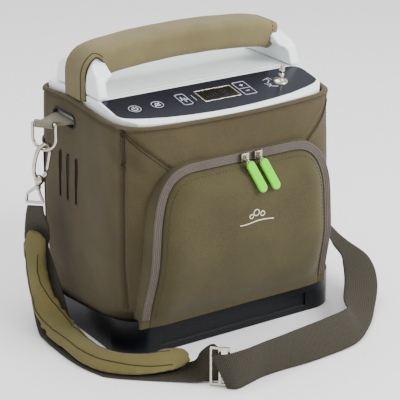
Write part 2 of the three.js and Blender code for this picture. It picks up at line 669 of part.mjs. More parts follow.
function makeTop() {
  const prism = loft([
    ringAt(UPPER_PLAN, -FABRIC - 3 * GAP, COVER_BOTTOM),
    ringAt(UPPER_PLAN, -FABRIC - 3 * GAP, COVER_TOP + 20),
  ]);
  const recess = slabZ(panelOutline(GAP), COVER_BOTTOM - 20, COVER_TOP + 30, 6);
  const deep = PANEL_THICKNESS + GAP;
  const hollow = loft([
    ringAt(UPPER_PLAN, -FABRIC - 3 * GAP - COVER_WALL, COVER_BOTTOM - 1),
    ringAt(UPPER_PLAN, -FABRIC - 3 * GAP - COVER_WALL, COVER_TOP + 20),
  ]);
  let cover = prism.intersect(underCover(0)).subtract(hollow.intersect(underCover(deep + COVER_WALL)));
  cover = cover.subtract(recess.subtract(underCover(deep)));
  const panelFrame = new THREE.Group();
  panelFrame.position.copy(PANEL_MIDDLE);
  panelFrame.rotation.x = PANEL_TILT;
  concentrator.add(panelFrame);

  // The panel and the keys are made in the panel's own plane, its face at height 0.
  const toPlane = new THREE.Matrix4().makeRotationX(PANEL_TILT).setPosition(PANEL_MIDDLE);
  const panelSolid = slabZ(panelOutline(0), COVER_BOTTOM - 20, COVER_TOP + 30, 6)
    .intersect(underCover(0))
    .subtract(underCover(PANEL_THICKNESS));
  const inPlane = toSolid(toGeometry(panelSolid).applyMatrix4(toPlane.clone().invert()));
  const outletSeat = rod(V(OUTLET.x, OUTLET.y, -12), V(OUTLET.x, OUTLET.y, 4), 8 + GAP, 20);
  const holes = [outletSeat];
  const keys = [];
  const through = 1;
  for (const [name, x, y] of ROUND_KEYS) {
    holes.push(rod(V(x, y, -9), V(x, y, through), ROUND_KEY_RADIUS + GAP, 20));
    keys.push([name, rod(V(x, y, -KEY_DEPTH), V(x, y, 0.2), ROUND_KEY_RADIUS, 20)]);
  }
  const plate = (x, low, high, half, bottom, top) => slabZ(keyRectangle(x, low, high, half), bottom, top);
  const { x: modeX, half: modeHalf, end: modeEnd } = MODE_KEY;
  holes.push(plate(modeX, -modeEnd - GAP, modeEnd + GAP, modeHalf + GAP, -9, through));
  keys.push(["mode_key", plate(modeX, -modeEnd, modeEnd, modeHalf, -KEY_DEPTH, 0.2)]);
  const { x: splitX, half: splitHalf, end: splitEnd, split } = SPLIT_KEYS;
  holes.push(plate(splitX, -splitEnd - GAP, splitEnd + GAP, splitHalf + GAP, -9, through));
  keys.push(["plus_key", plate(splitX, split, splitEnd, splitHalf, -KEY_DEPTH, 0.2)]);
  keys.push(["minus_key", plate(splitX, -splitEnd, -split, splitHalf, -KEY_DEPTH, 0.2)]);
  const [w, d] = [LCD_WIDTH / 2, LCD_DEPTH / 2];
  holes.push(block(V(LCD_X - w - GAP, -d - GAP, -9), V(LCD_X + w + GAP, d + GAP, through)));
  const film = holes.reduce((solid, hole) => solid.subtract(hole), inPlane);
  add("control_panel", film, "panel_gloss", panelFrame);
  for (const [name, solid] of keys) add(name, solid, "key_film", panelFrame);
  const rim = 1.2;
  const bezel = block(V(LCD_X - w, -d, -2.5), V(LCD_X + w, d, 0.3));
  const glassHole = block(V(LCD_X - w + rim, -d + rim, -4), V(LCD_X + w - rim, d - rim, 2));
  add("display_frame", bezel.subtract(glassHole), "nickel", panelFrame);
  const inset = rim + GAP;
  const glass = block(V(LCD_X - w + inset, -d + inset, -2.5), V(LCD_X + w - inset, d - inset, -0.2));
  add("display_window", glass, "display_glass", panelFrame);

  // The oxygen outlet stands upright out of the panel on a round flange.
  const flange = 8;
  const barb = [
    [0, -6],
    [flange, -6],
    [flange, 1],
    [6.5, 2.2],
    [3.4, 3.2],
    [3.2, 8],
    [2.2, 9.5],
    [2.2, 12],
    [3, 12.4],
    [2, 15.4],
    [2.7, 15.8],
    [1.6, 19],
    [0, 19],
  ];
  const outlet = turned(barb, 18).subtract(rod(V(0, 0, 4), V(0, 0, 30), 0.9, 6));
  const stand = new THREE.Group();
  stand.position.set(OUTLET.x, OUTLET.y, 0);
  panelFrame.add(stand);
  add("oxygen_outlet", outlet, "nickel", stand);
  const seatInRow = toSolid(toGeometry(outletSeat).applyMatrix4(toPlane));
  add("top_cover", cover.subtract(seatInRow), "white_plastic");
}

// ---- Handle and its fabric wrap ----

// The arch in X and Z: outer line over the top, inner line under the grip.
function archShape(grow, half, top, under, foot) {
  const outer = half + grow;
  const inner = half - LEG_THICKNESS - grow;
  const high = top + grow;
  const low = under - grow;
  const shape = new THREE.Shape();
  shape.moveTo(outer, foot);
  shape.lineTo(outer, high - 36);
  shape.bezierCurveTo(outer, high - 14, outer - 16, high - 8, outer - 36, high - 5);
  shape.quadraticCurveTo(0, high + 5, 36 - outer, high - 5);
  shape.bezierCurveTo(16 - outer, high - 8, -outer, high - 14, -outer, high - 36);
  shape.lineTo(-outer, foot);
  shape.lineTo(-inner, foot);
  shape.lineTo(-inner, low - 16);
  shape.bezierCurveTo(-inner, low - 6, -inner + 8, low - 4, -inner + 20, low - 3);
  shape.quadraticCurveTo(0, low + 3, inner - 20, low - 3);
  shape.bezierCurveTo(inner - 8, low - 4, inner, low - 6, inner, low - 16);
  shape.lineTo(inner, foot);
  return shape;
}

// The side view: broad legs that narrow to the grip.
function legProfile(grow) {
  const [y, d] = [GRIP_Y, GRIP_HALF_DEPTH + grow];
  const high = HANDLE_TOP + grow;
  return [
    [y - d - 28, 200],
    [y - d - 28, COVER_TOP],
    [y - d - 20, high - 26],
    [y - d, high - 14],
    [y - d, high - 5],
    [y - d + 7, high + 5],
    [y + d - 7, high + 5],
    [y + d, high - 5],
    [y + d, high - 14],
    [y + d + 20, high - 26],
    [y + d + 26, COVER_TOP],
    [y + d + 26, 200],
  ];
}

const HANDLE_HALF = CASE_HALF - FABRIC - 2 * GAP - 0.4;

function handleSolid(grow) {
  const arch = archShape(grow, HANDLE_HALF, HANDLE_TOP, HANDLE_TOP - GRIP_HEIGHT, 200);
  const solid = slabY(arch, GRIP_Y - 70, GRIP_Y + 70, 8);
  const legStart = 0.82 * HANDLE_HALF;
  const legs = [-1, 1].map((side) => {
    const [a, b] = [side * legStart, side * (HALF_WIDTH + 20)];
    return solid.intersect(slabX(legProfile(grow), Math.min(a, b), Math.max(a, b)));
  });
  const depth = GRIP_HALF_DEPTH + grow;
  const gripLow = V(-legStart - 2, GRIP_Y - depth, 200);
  const gripSpace = block(gripLow, V(legStart + 2, GRIP_Y + depth, HANDLE_TOP + 20));
  return solid.intersect(gripSpace).add(legs[0]).add(legs[1]);
}

function makeHandle() {
  const aboveCover = block(V(-200, -200, 200), V(200, 200, 400)).subtract(underCover(-GAP));
  add("carry_handle", handleSolid(0).intersect(aboveCover), "white_plastic");
  const arch = archShape(WRAP, HANDLE_HALF, HANDLE_TOP, HANDLE_TOP - GRIP_HEIGHT, 200);
  const depth = GRIP_HALF_DEPTH + WRAP;
  const section = [
    [GRIP_Y - depth, 200],
    [GRIP_Y - depth, HANDLE_TOP - 2],
    [GRIP_Y - depth + 9, HANDLE_TOP + 20],
    [GRIP_Y + depth - 9, HANDLE_TOP + 20],
    [GRIP_Y + depth, HANDLE_TOP - 2],
    [GRIP_Y + depth, 200],
  ];
  let wrap = slabY(arch, GRIP_Y - 70, GRIP_Y + 70, 8).intersect(slabX(section, -200, 0.92 * HANDLE_HALF));
  // On the left the wrap goes on down the outside of the leg; inside the leg it ends under the grip.
  const insideLeg = block(V(-HANDLE_HALF + 1, -200, 200), V(200, 200, HANDLE_TOP - GRIP_HEIGHT - 12));
  wrap = wrap.subtract(insideLeg).subtract(handleSolid(GAP));
  const belowRim = block(V(-200, -200, 200), V(200, 200, RIM_HEIGHT + RIM_LIFT + GAP));
  wrap = wrap.subtract(belowRim);
  add("handle_wrap", wrap, "neoprene");
}

// ---- Machine inside the case ----
function makeHousing() {
  const grow = -FABRIC - 2 * GAP;
  const outer = caseEnvelope(grow, HOUSING_BOTTOM, COVER_BOTTOM - GAP, 0);
  const floor = HOUSING_BOTTOM + HOUSING_WALL;
  const inner = caseEnvelope(grow - HOUSING_WALL, floor, COVER_BOTTOM + 20, 0);
  let shell = outer.subtract(inner).subtract(inletHole(0)).subtract(ventCut());
  for (const cut of [...slits(-1, CASE_HALF - 25), ...slits(1, CASE_HALF - 25)]) {
    shell = shell.subtract(cut);
  }
  const frontHalf = block(V(-200, -200, 0), V(200, -GAP / 2, 400));
  const rearHalf = block(V(-200, GAP / 2, 0), V(200, 200, 400));
  add("housing_front", shell.intersect(frontHalf), "machine_plastic");
  add("housing_rear", shell.intersect(rearHalf), "machine_plastic");

  const [w, h] = [INLET.width / 2 - GAP, INLET.height / 2 - GAP];
  const face = CASE_BACK - 1;
  const body = block(V(INLET.x - w, face - 22, INLET.z - h), V(INLET.x + w, face, INLET.z + h));
  const socket = rod(V(INLET.x, face - 16, INLET.z), V(INLET.x, face + 1, INLET.z), 5, 12);
  add("power_inlet", body.subtract(socket), "black_plastic");
}

const DECK_TOP = HOUSING_BOTTOM + HOUSING_WALL + GAP + 3;
const INSIDE_TOP = COVER_BOTTOM - 6;
const SHAFT = { x: -45, z: 84 };
const FAN = { x: 92, z: 100, depth: 20 };

function makeMachine() {
  const deckFloor = DECK_TOP - 3;
  const deck = roundedRectangle(BOOT_WIDTH - 60, BOOT_DEPTH - 50, 20, 2);
  add("chassis_plate", slabZ(deck, deckFloor, DECK_TOP, 4), "cast_alloy");

  const low = DECK_TOP + GAP;
  // Compressor: a block with the motor's round case on its back, a head on each side.
  const blockSolid = block(V(SHAFT.x - 28, -45, low), V(SHAFT.x + 28, 10, low + 78));
  const motorCase = rod(V(SHAFT.x, 5, SHAFT.z), V(SHAFT.x, 34, SHAFT.z), 30, 24);
  const bore = rod(V(SHAFT.x, -20, SHAFT.z), V(SHAFT.x, 40, SHAFT.z), 5, 12);
  add("compressor_block", blockSolid.add(motorCase).subtract(bore), "cast_alloy");
  const shaft = rod(V(SHAFT.x, -18, SHAFT.z), V(SHAFT.x, 52, SHAFT.z), 4, 12);
  const flywheel = rod(V(SHAFT.x, 38, SHAFT.z), V(SHAFT.x, 46, SHAFT.z), 22, 24);
  const weight = block(V(SHAFT.x - 9, 45, SHAFT.z - 18), V(SHAFT.x + 9, 50, SHAFT.z - 8));
  add("motor_rotor", shaft.add(flywheel).add(weight), "steel");
  for (const [name, side] of [["left", -1], ["right", 1]]) {
    const near = SHAFT.x + side * (28 + GAP);
    const far = near + side * 20;
    const span = (a, b) => [Math.min(a, b), Math.max(a, b)];
    const [x0, x1] = span(near, far);
    let head = block(V(x0, -38, low + 12), V(x1, 2, low + 66));
    for (let z = low + 18; z < low + 62; z += 8) {
      const [f0, f1] = span(near + side * 7, far + side);
      head = head.subtract(block(V(f0, -40, z), V(f1, 4, z + 4)));
    }
    add(`cylinder_head_${name}`, head, "cast_alloy");
  }
  // Sieve beds, product tank and the valve block that joins them.
  const bedLow = low;
  const bedHigh = INSIDE_TOP - 22;
  const cap = 12;
  const r = BED_RADIUS;
  const bedProfile = [
    [0, bedLow],
    [r, bedLow],
    [r, bedLow + cap],
    [r - 2, bedLow + cap],
    [r - 2, bedHigh - cap],
    [r, bedHigh - cap],
    [r, bedHigh],
    [0, bedHigh],
  ];
  const bed = turned(bedProfile, 18);
  const bedX = [24, 24 + 2 * r + 2];
  ["left", "right"].forEach((name, i) => {
    const mesh = add(`sieve_bed_${name}`, bed, "bed_alloy");
    mesh.position.set(bedX[i], -50, 0);
  });
  const tankProfile = [
    [0, low],
    [20, low],
    [22, low + 4],
    [22, 170],
    [18, 178],
    [0, 178],
  ];
  const tank = add("product_tank", turned(tankProfile, 18), "machine_plastic");
  tank.position.set(46, 14, 0);
  const manifold = block(V(bedX[0] - r, -62, bedHigh + GAP), V(bedX[1] + r, -38, bedHigh + 16));
  const coils = [0, 1, 2].map((i) => {
    const x = bedX[0] - 6 + 22 * i;
    return rod(V(x, -38.5, bedHigh + 8), V(x, -20, bedHigh + 8), 6, 12);
  });
  add("valve_manifold", coils.reduce((sum, coil) => sum.add(coil), manifold), "black_plastic");

  // Cooling fan in the right side.
  const half = FAN_RADIUS + 4;
  const [fanNear, fanFar] = [FAN.x, FAN.x + FAN.depth];
  let fanFrame = block(V(fanNear, -half, FAN.z - half), V(fanFar, half, FAN.z + half));
  const duct = rod(V(fanNear - 1, 0, FAN.z), V(fanFar + 1, 0, FAN.z), FAN_RADIUS + 1.5, 28);
  fanFrame = fanFrame.subtract(duct);
  fanFrame = fanFrame.add(rod(V(fanFar - 3, 0, FAN.z), V(fanFar, 0, FAN.z), 14, 16));
  for (const turn of [0, 1, 2]) {
    const strut = new THREE.BoxGeometry(3, 4, FAN_RADIUS + 2).translate(fanFar - 1.5, 0, FAN_RADIUS / 2 + 1);
    strut.rotateX((turn * 2 * Math.PI) / 3 + 0.3).translate(0, 0, FAN.z);
    fanFrame = fanFrame.add(toSolid(strut));
  }
  add("fan_frame", fanFrame, "black_plastic");
  let fan = rod(V(fanNear + 2, 0, FAN.z), V(fanFar - 3 - GAP, 0, FAN.z), 13, 16);
  const blades = 7;
  for (let i = 0; i < blades; i++) {
    const reach = FAN_RADIUS - 11;
    const blade = new THREE.BoxGeometry(14, 1.6, reach).translate(0, 0, 11 + reach / 2);
    blade.rotateZ(0.7).rotateX((i * 2 * Math.PI) / blades).translate(fanNear + 9, 0, FAN.z);
    fan = fan.add(toSolid(blade));
  }
  add("fan_rotor", fan, "black_plastic");

  // Main board on the rear wall, filter foam behind the left slits.
  const boardY = CASE_BACK - FABRIC - HOUSING_WALL - 12;
  let board = block(V(-80, boardY, 60), V(30, boardY + 1.6, 200));
  const chips = [[-60, 80, 20], [-20, 120, 26], [0, 170, 14], [-55, 150, 18]];
  for (const [x, z, size] of chips) {
    board = board.add(block(V(x, boardY - 6, z), V(x + size, boardY + 0.5, z + size)));
  }
  add("main_board", board, "circuit_board");
  const filterFar = -CASE_HALF + FABRIC + HOUSING_WALL + 6;
  const filterLow = V(filterFar, -8, SLIT_LOW - 4);
  add("intake_filter", block(filterLow, V(filterFar + 14, 46, SLIT_HIGH + 4)), "filter_foam");
}

// ---- Strap fittings, modelled on the left and mirrored to the right ----
const RING_MIDDLE = V(-HALF_WIDTH - 23, 18, 224);
const RING_ALONG = V(0.62, -0.78, 0).normalize();
const RING_HALF = 13;
const RING_DROP = 14.5;
const HOOK_TOP = V(-HALF_WIDTH - 23, 18, 197);
const HOOK_BOTTOM = V(-HALF_WIDTH - 29, 26, 152);
const EYE_MIDDLE = V(-HALF_WIDTH - 31, 28.5, 138);
const EYE_HALF = 20;
const EYE_ACROSS = V(0, -1, 0.3).normalize();

function ringPoint(along, height) {
  return RING_MIDDLE.clone().addScaledVector(RING_ALONG, along).add(V(0, 0, height));
}

function makeRing(side, parent) {
  const outward = V(-1, 0, 0);
  const tabHalf = 10;
  const tabSection = (middle, along, half, thick) => {
    const corner = (a, b) => middle.clone().addScaledVector(along, a * half).add(V(0, 0, b * thick));
    return [corner(-1, -1), corner(1, -1), corner(1, 1), corner(-1, 1)];
  };
  const level = V(0, -1, 0);
  let tab = loft([
    tabSection(V(-CASE_HALF + 1, TAB_SLOT.y, TAB_SLOT.z), level, 19, 1.5),
    tabSection(V(-CASE_HALF - 5, TAB_SLOT.y - 1, TAB_SLOT.z), level, 17, 1.5),
    tabSection(RING_MIDDLE.clone().addScaledVector(outward, -6), RING_ALONG, tabHalf - 0.5, 2.6),
    tabSection(RING_MIDDLE.clone().addScaledVector(outward, -1.2), RING_ALONG, tabHalf - 0.5, 3.3),
  ]);
  tab = tab.add(rod(ringPoint(-tabHalf, 0), ringPoint(tabHalf, 0), 4.2, 12));
  tab = tab.subtract(rod(ringPoint(-20, 0), ringPoint(20, 0), WIRE + 0.5, 10));
  add(`side_tab_${side}`, tab, "webbing", parent);

  const bar = rod(ringPoint(-RING_HALF, 0), ringPoint(RING_HALF, 0), WIRE, 8);
  const bow = [ringPoint(-RING_HALF, 0), ringPoint(-RING_HALF, -RING_DROP / 2)];
  const arcSteps = 6;
  for (let i = 0; i <= arcSteps; i++) {
    const angle = Math.PI * (1 + i / arcSteps);
    bow.push(ringPoint(RING_HALF * Math.cos(angle), -RING_DROP + RING_HALF * Math.sin(angle)));
  }
  bow.push(ringPoint(RING_HALF, -RING_DROP / 2), ringPoint(RING_HALF, 0));
  const knuckles = [-1, 1].map((end) => {
    const knuckle = new THREE.SphereGeometry(WIRE * 1.15, 8, 6);
    return toSolid(knuckle.translate(...ringPoint(end * RING_HALF, 0).toArray()));
  });
  const ring = knuckles.reduce((sum, knuckle) => sum.add(knuckle), bar.add(wire(bow, WIRE, 15, 6)));
  add(`d_ring_${side}`, ring, "nickel", parent);
}

const HOOK_HALF = 9;
const HOOK_LOOP_TOP = 5.4;
const HOOK_LOOP_BOTTOM = -32;
const GATE_FROM = -0.72;
const GATE_TO = 0.85;

function makeHook(side, parent) {
  // The hook's own frame: z along its pin, x across its bow.
  const up = HOOK_TOP.clone().sub(HOOK_BOTTOM).normalize();
  const across = V(1, -0.05, 0);
  across.addScaledVector(up, -across.dot(up)).normalize();
  const frame = new THREE.Group();
  const basis = new THREE.Matrix4().makeBasis(across, up.clone().cross(across), up);
  frame.applyMatrix4(basis.setPosition(HOOK_TOP));
  parent.add(frame);
  const middle = (HOOK_LOOP_TOP + HOOK_LOOP_BOTTOM) / 2;
  const tall = (HOOK_LOOP_TOP - HOOK_LOOP_BOTTOM) / 2;
  const soften = (value) => Math.sign(value) * Math.abs(value) ** 0.8;
  const onLoop = (angle) => {
    const [c, s] = [Math.cos(angle), Math.sin(angle)];
    return V(HOOK_HALF * soften(c), 0, middle + tall * soften(s));
  };
  // The bow runs from above the gate, over the top and round to below it.
  const steps = 16;
  const turn = 2 * Math.PI - (GATE_TO - GATE_FROM);
  const bowPoints = Array.from({ length: steps + 1 }, (_, i) => onLoop(GATE_TO + (turn * i) / steps));
  let hook = wire(bowPoints, HOOK_WIRE, 18, 6);
  const boss = [
    [0, HOOK_LOOP_BOTTOM - 8],
    [3.4, HOOK_LOOP_BOTTOM - 8],
    [5.4, HOOK_LOOP_BOTTOM - 3],
    [4.2, HOOK_LOOP_BOTTOM + 1.5],
    [0, HOOK_LOOP_BOTTOM + 1.5],
  ];
  hook = hook.add(turned(boss, 12));
  add(`snap_hook_${side}`, hook, "nickel", frame);
  const [low, high] = [onLoop(GATE_FROM), onLoop(GATE_TO)];
  const along = high.clone().sub(low).normalize();
  const gateLow = low.clone().addScaledVector(along, HOOK_WIRE * 0.6 + 1);
  const gateHigh = high.clone().addScaledVector(along, -HOOK_WIRE - 0.6);
  add(`snap_gate_${side}`, rod(gateLow, gateHigh, 1.7, 8), "nickel", frame);

  // Square eye that the hook turns on, with the webbing through it.
  const eyeUp = V(0, -EYE_ACROSS.z, EYE_ACROSS.y).multiplyScalar(-1);
  const eyeCorner = (a, height) =>
    EYE_MIDDLE.clone().addScaledVector(EYE_ACROSS, a).addScaledVector(eyeUp, height);
  const topBar = 12;
  const radius = 1.7;
  let eye = rod(eyeCorner(-EYE_HALF, 0), eyeCorner(EYE_HALF, 0), radius, 6);
  const pinEnd = HOOK_LOOP_BOTTOM - 9.4;
  const neck = HOOK_TOP.clone().addScaledVector(up, pinEnd);
  for (const end of [-1, 1]) {
    const foot = eyeCorner(end * EYE_HALF, 0);
    const shoulder = eyeCorner(end * (EYE_HALF - 5), topBar - 3);
    eye = eye.add(rod(foot, shoulder, radius, 6)).add(rod(shoulder, neck, radius, 6));
    for (const joint of [foot, shoulder]) {
      eye = eye.add(toSolid(new THREE.SphereGeometry(radius * 1.2, 6, 4).translate(...joint.toArray())));
    }
  }
  const collarLow = neck.clone().addScaledVector(up, -4);
  eye = eye.add(rod(collarLow, neck.clone().addScaledVector(up, 0.8), 3.2, 12));
  add(`swivel_eye_${side}`, eye, "nickel", parent);
}

function makeFittings() {
  for (const side of ["left", "right"]) {
    const parent = new THREE.Group();
    if (side === "right") parent.scale.x = -1;
    concentrator.add(parent);
    makeRing(side, parent);
    makeHook(side, parent);
  }
}

// ---- Shoulder strap: the route's points are chosen, not worked out ----
const SHORT_ROUTE = [
  [V(-165, 28.2, 134.2), V(0, -1, 0.3)],
  [V(-163.5, 32, 123), V(0.1, -1, 0.28)],
  [V(-159, 38, 110), V(0.25, -0.96, 0.15)],
  [V(-156.8, 42, 96), V(0.31, -0.94, 0)],
  [V(-156.6, 43, 80), V(0.31, -0.94, 0)],
];
const PAD_ROUTE = [
  [V(-165, 33, 106), V(0.31, -0.94, 0.1)],
  [V(-166, 33, 90), V(0.31, -0.94, 0.1)],
  [V(-166.5, 32, 74), V(0.31, -0.94, 0.1)],
  [V(-166.5, 29, 57), V(0.33, -0.92, 0.1)],
  [V(-166, 21, 37), V(0.45, -0.8, 0.3)],
  [V(-165, 5, 21), V(0.75, -0.5, 0.3)],
  [V(-164, -16, 12), V(0.97, -0.1, 0.2)],
  [V(-163, -42, 9.5), V(1, 0, 0.12)],
  [V(-162, -70, 9.5), V(0.97, 0.2, 0.12)],
  [V(-156, -97, 9.5), V(0.85, 0.5, 0.12)],
  [V(-142, -119, 9.8), V(0.62, 0.78, 0.12)],
  [V(-124, -134, 10.5), V(0.5, 0.85, 0.15)],
  [V(-105, -143, 12), V(0.4, 0.88, 0.2)],
  [V(-88, -149, 14), V(0.35, 0.9, 0.22)],
];
const TAIL_ROUTE = [
  [V(-106, -149, 1.8), V(0.5, 0.86, 0.03)],
  [V(-95, -155, 3.2), V(0.5, 0.85, 0.08)],
  [V(-84, -163, 10), V(0.42, 0.78, 0.45)],
  [V(-79, -173, 17.2), V(0.25, 0.4, 0.87)],
  [V(-78.5, -184, 20.2), V(-0.05, 0.1, 0.99)],
];
const LONG_ROUTE = [
  [V(-85, -194.5, 17.6), V(-0.3, 0.3, 0.9)],
  [V(-75, -202.5, 18.6), V(-0.2, 0.2, 0.95)],
  [V(-58, -203, 19.6), V(-0.05, 0.05, 1)],
  [V(-35, -199, 19.7), V(0, 0, 1)],
  [V(-10, -197, 19.6), V(0, 0.05, 1)],
  [V(20, -194.5, 19.1), V(0, 0.22, 0.97)],
  [V(51, -190.5, 18.6), V(0.05, 0.34, 0.94)],
  [V(88, -180.5, 16.6), V(0.1, 0.6, 0.79)],
  [V(109, -162, 15.6), V(-0.25, 0.75, 0.6)],
  [V(130, -140, 17.5), V(-0.7, 0.5, 0.48)],
  [V(152, -115, 27), V(-0.88, 0.38, 0.2)],
  [V(163, -93, 37.5), V(-0.98, -0.05, -0.05)],
  [V(168, -65, 44), V(-0.75, -0.65, -0.05)],
  [V(170, -41, 50), V(-0.6, -0.78, -0.1)],
  [V(170.5, -15, 66), V(-0.3, -0.9, -0.25)],
  [V(169.5, 8, 90), V(-0.1, -0.95, -0.2)],
  [V(167, 23, 114), V(0, -1, 0.2)],
  [V(165.2, 27.8, 128), V(0, -1, 0.3)],
  [V(165, 28.2, 134.2), V(0, -1, 0.3)],
];
const ADJUSTER_MIDDLE = V(-81.5, -190.5, 21);

// The stations above lie round a case of this half size, and move with its walls when it changes.
const LAID_HALF_WIDTH = 134;
const LAID_HALF_DEPTH = 97;

function besideCase({ x, y, z }) {
  const { clamp } = THREE.MathUtils;
  const sideways = (HALF_WIDTH - LAID_HALF_WIDTH) * clamp(x / LAID_HALF_WIDTH, -1, 1);
  const forwards = (HALF_DEPTH - LAID_HALF_DEPTH) * clamp(y / LAID_HALF_DEPTH, -1, 0);
  return V(x + sideways, y + forwards, z);
}

const laid = (route) => route.map(([middle, across]) => [besideCase(middle), across]);

function makeStrap() {
  add("strap_short", band(smoothed(laid(SHORT_ROUTE), 8), WEBBING - 3, WEBBING_THICKNESS), "webbing");
  // The pad's section is a flat oval, narrowing at both ends.
  const stations = smoothed(laid(PAD_ROUTE), 26);
  const sides = 10;
  const rings = stations.map(([middle, across], i) => {
    const before = stations[Math.max(i - 1, 0)][0];
    const after = stations[Math.min(i + 1, stations.length - 1)][0];
    const along = after.clone().sub(before).normalize();
    const side = across.clone().normalize();
    const face = along.clone().cross(side).normalize();
    const t = i / (stations.length - 1);
    const share = Math.min(1, 0.5 + 6 * Math.min(t, 1 - t));
    return Array.from({ length: sides }, (_, k) => {
      const angle = (2 * Math.PI * k) / sides;
      const [c, s] = [Math.cos(angle), Math.sin(angle)];
      const wide = Math.sign(c) * Math.abs(c) ** 0.6 * share * (PAD_WIDTH / 2);
      const thick = Math.sign(s) * Math.abs(s) ** 0.6 * Math.min(1, share + 0.1) * (PAD_THICKNESS / 2);
      return middle.clone().addScaledVector(side, wide).addScaledVector(face, thick);
    });
  });
  add("shoulder_pad", loft(rings), "neoprene");
  add("strap_tail", band(smoothed(laid(TAIL_ROUTE), 14), WEBBING - 2, WEBBING_THICKNESS), "webbing");
  add("strap_long", band(smoothed(laid(LONG_ROUTE), 48), WEBBING, WEBBING_THICKNESS), "webbing");

  // Slide adjuster: a standing frame with a middle bar, the webbing threaded through it.
  const [outerX, outerZ] = [10, 20.8];
  const bar = 2.4;
  const frame = block(V(-outerX, -1.3, -outerZ), V(outerX, 1.3, outerZ));
  const openWidth = outerX - 1.5 * bar;
  const slot = (side) => {
    const low = side < 0 ? bar - outerX : bar / 2;
    return block(V(low, -3, bar - outerZ), V(low + openWidth, 3, outerZ - bar));
  };
  const adjuster = frame.subtract(slot(-1)).subtract(slot(1));
  const place = new THREE.Group();
  place.position.copy(besideCase(ADJUSTER_MIDDLE));
  place.rotation.z = -0.25 * Math.PI;
  concentrator.add(place);
  add("slide_adjuster", adjuster, "nickel", place);
}

makeBoot();
makeBattery();
makeSleeve();
makePocket();
makeTop();
makeHandle();
makeHousing();
makeMachine();
makeFittings();
makeStrap();

export default concentrator;
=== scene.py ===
# %% [markdown]
# # A portable oxygen concentrator in its carry case
# The machine stands in a padded fabric sleeve on a black plastic boot, and a shoulder strap lies round it.
# The real object is many pieces: fabric, zip, metal fittings, glossy shell. Each is made in its own cell.
# The imported frame gives every hard piece its place. It is loaded first.

# %% Load the frame
import json
import math

import bmesh
import bpy
import numpy as np
from mathutils import Matrix, Vector, noise
from mathutils.bvhtree import BVHTree


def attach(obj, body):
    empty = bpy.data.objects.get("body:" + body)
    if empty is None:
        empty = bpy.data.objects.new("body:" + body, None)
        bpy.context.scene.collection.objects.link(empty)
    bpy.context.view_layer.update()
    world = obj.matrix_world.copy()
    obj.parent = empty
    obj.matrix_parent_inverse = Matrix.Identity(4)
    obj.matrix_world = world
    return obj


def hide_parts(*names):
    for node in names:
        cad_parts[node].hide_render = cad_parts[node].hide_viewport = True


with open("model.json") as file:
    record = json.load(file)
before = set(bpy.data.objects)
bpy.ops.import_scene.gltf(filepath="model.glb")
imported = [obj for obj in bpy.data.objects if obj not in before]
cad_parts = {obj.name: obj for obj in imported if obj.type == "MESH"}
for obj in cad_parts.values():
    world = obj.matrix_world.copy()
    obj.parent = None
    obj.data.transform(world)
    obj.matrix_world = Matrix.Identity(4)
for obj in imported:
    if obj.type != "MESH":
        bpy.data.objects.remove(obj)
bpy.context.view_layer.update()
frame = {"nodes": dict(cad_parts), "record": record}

MM = 0.001
record = frame["record"]
nodes = frame["nodes"]

# %% [markdown]
# ## Camera
# The object is seen from its front left, a little from above, with a long lens that flattens perspective.
# A camera can be aimed with a constraint or by a matrix. A matrix is exact and needs no extra object.

# %% Camera
CAMERA_AZIMUTH = math.radians(-33.09)
CAMERA_ELEVATION = math.radians(21.23)
CAMERA_DISTANCE = 1.735
CAMERA_TARGET = Vector((0.0187, 0.0, 0.1113))
CAMERA_ROLL = math.radians(0.22)
CAMERA_LENS_MM = 145
CAMERA_SENSOR_MM = 36

camera_data = bpy.data.cameras.new("camera")
camera_data.lens = CAMERA_LENS_MM
camera_data.sensor_width = CAMERA_SENSOR_MM
camera = bpy.data.objects.new("camera", camera_data)
bpy.context.scene.collection.objects.link(camera)
towards_camera = Vector(
    (
        math.sin(CAMERA_AZIMUTH) * math.cos(CAMERA_ELEVATION),
        -math.cos(CAMERA_AZIMUTH) * math.cos(CAMERA_ELEVATION),
        math.sin(CAMERA_ELEVATION),
    )
)
turn = towards_camera.to_track_quat("Z", "Y").to_matrix().to_4x4()
roll = Matrix.Rotation(CAMERA_ROLL, 4, "Z")
camera.matrix_world = Matrix.Translation(CAMERA_TARGET + towards_camera * CAMERA_DISTANCE) @ turn @ roll
bpy.context.scene.camera = camera
print("camera at", [round(value, 3) for value in camera.matrix_world.translation])

# %% [markdown]
# ## Mesh helpers
# Most pieces here are skins over rows of points: a sleeve, a strap, a wire. Curves with a bevel could make
# the wires, but plain meshes keep every piece editable in one way, and numpy makes the rows quickly.

# %% Mesh helpers
def new_piece(name, points, faces, material, body="case"):
    """A mesh object from points and faces, with its normals outwards, that rides on a body."""
    mesh = bpy.data.meshes.new(name)
    mesh.from_pydata([tuple(point) for point in points], [], [tuple(face) for face in faces])
    mesh.materials.append(material)
    shape = bmesh.new()
    shape.from_mesh(mesh)
    bmesh.ops.recalc_face_normals(shape, faces=shape.faces)
    for face in shape.faces:
        face.smooth = True
    shape.to_mesh(mesh)
    shape.free()
    piece = bpy.data.objects.new(name, mesh)
    bpy.context.scene.collection.objects.link(piece)
    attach(piece, body)
    return piece


def skin(rows, closed=True, caps=True):
    """Points and faces of a skin over rows of equally many points; closed joins each row into a ring."""
    rows = np.asarray(rows, dtype=float)
    count, width = rows.shape[:2]
    points = [tuple(point) for point in rows.reshape(-1, 3)]
    faces = []
    last = width if closed else width - 1
    for r in range(count - 1):
        for c in range(last):
            d = (c + 1) % width
            faces.append((r * width + c, r * width + d, (r + 1) * width + d, (r + 1) * width + c))
    if caps and closed:
        for r in (0, count - 1):
            points.append(tuple(rows[r].mean(axis=0)))
            middle = len(points) - 1
            for c in range(width):
                faces.append((r * width + c, r * width + (c + 1) % width, middle))
    return points, faces


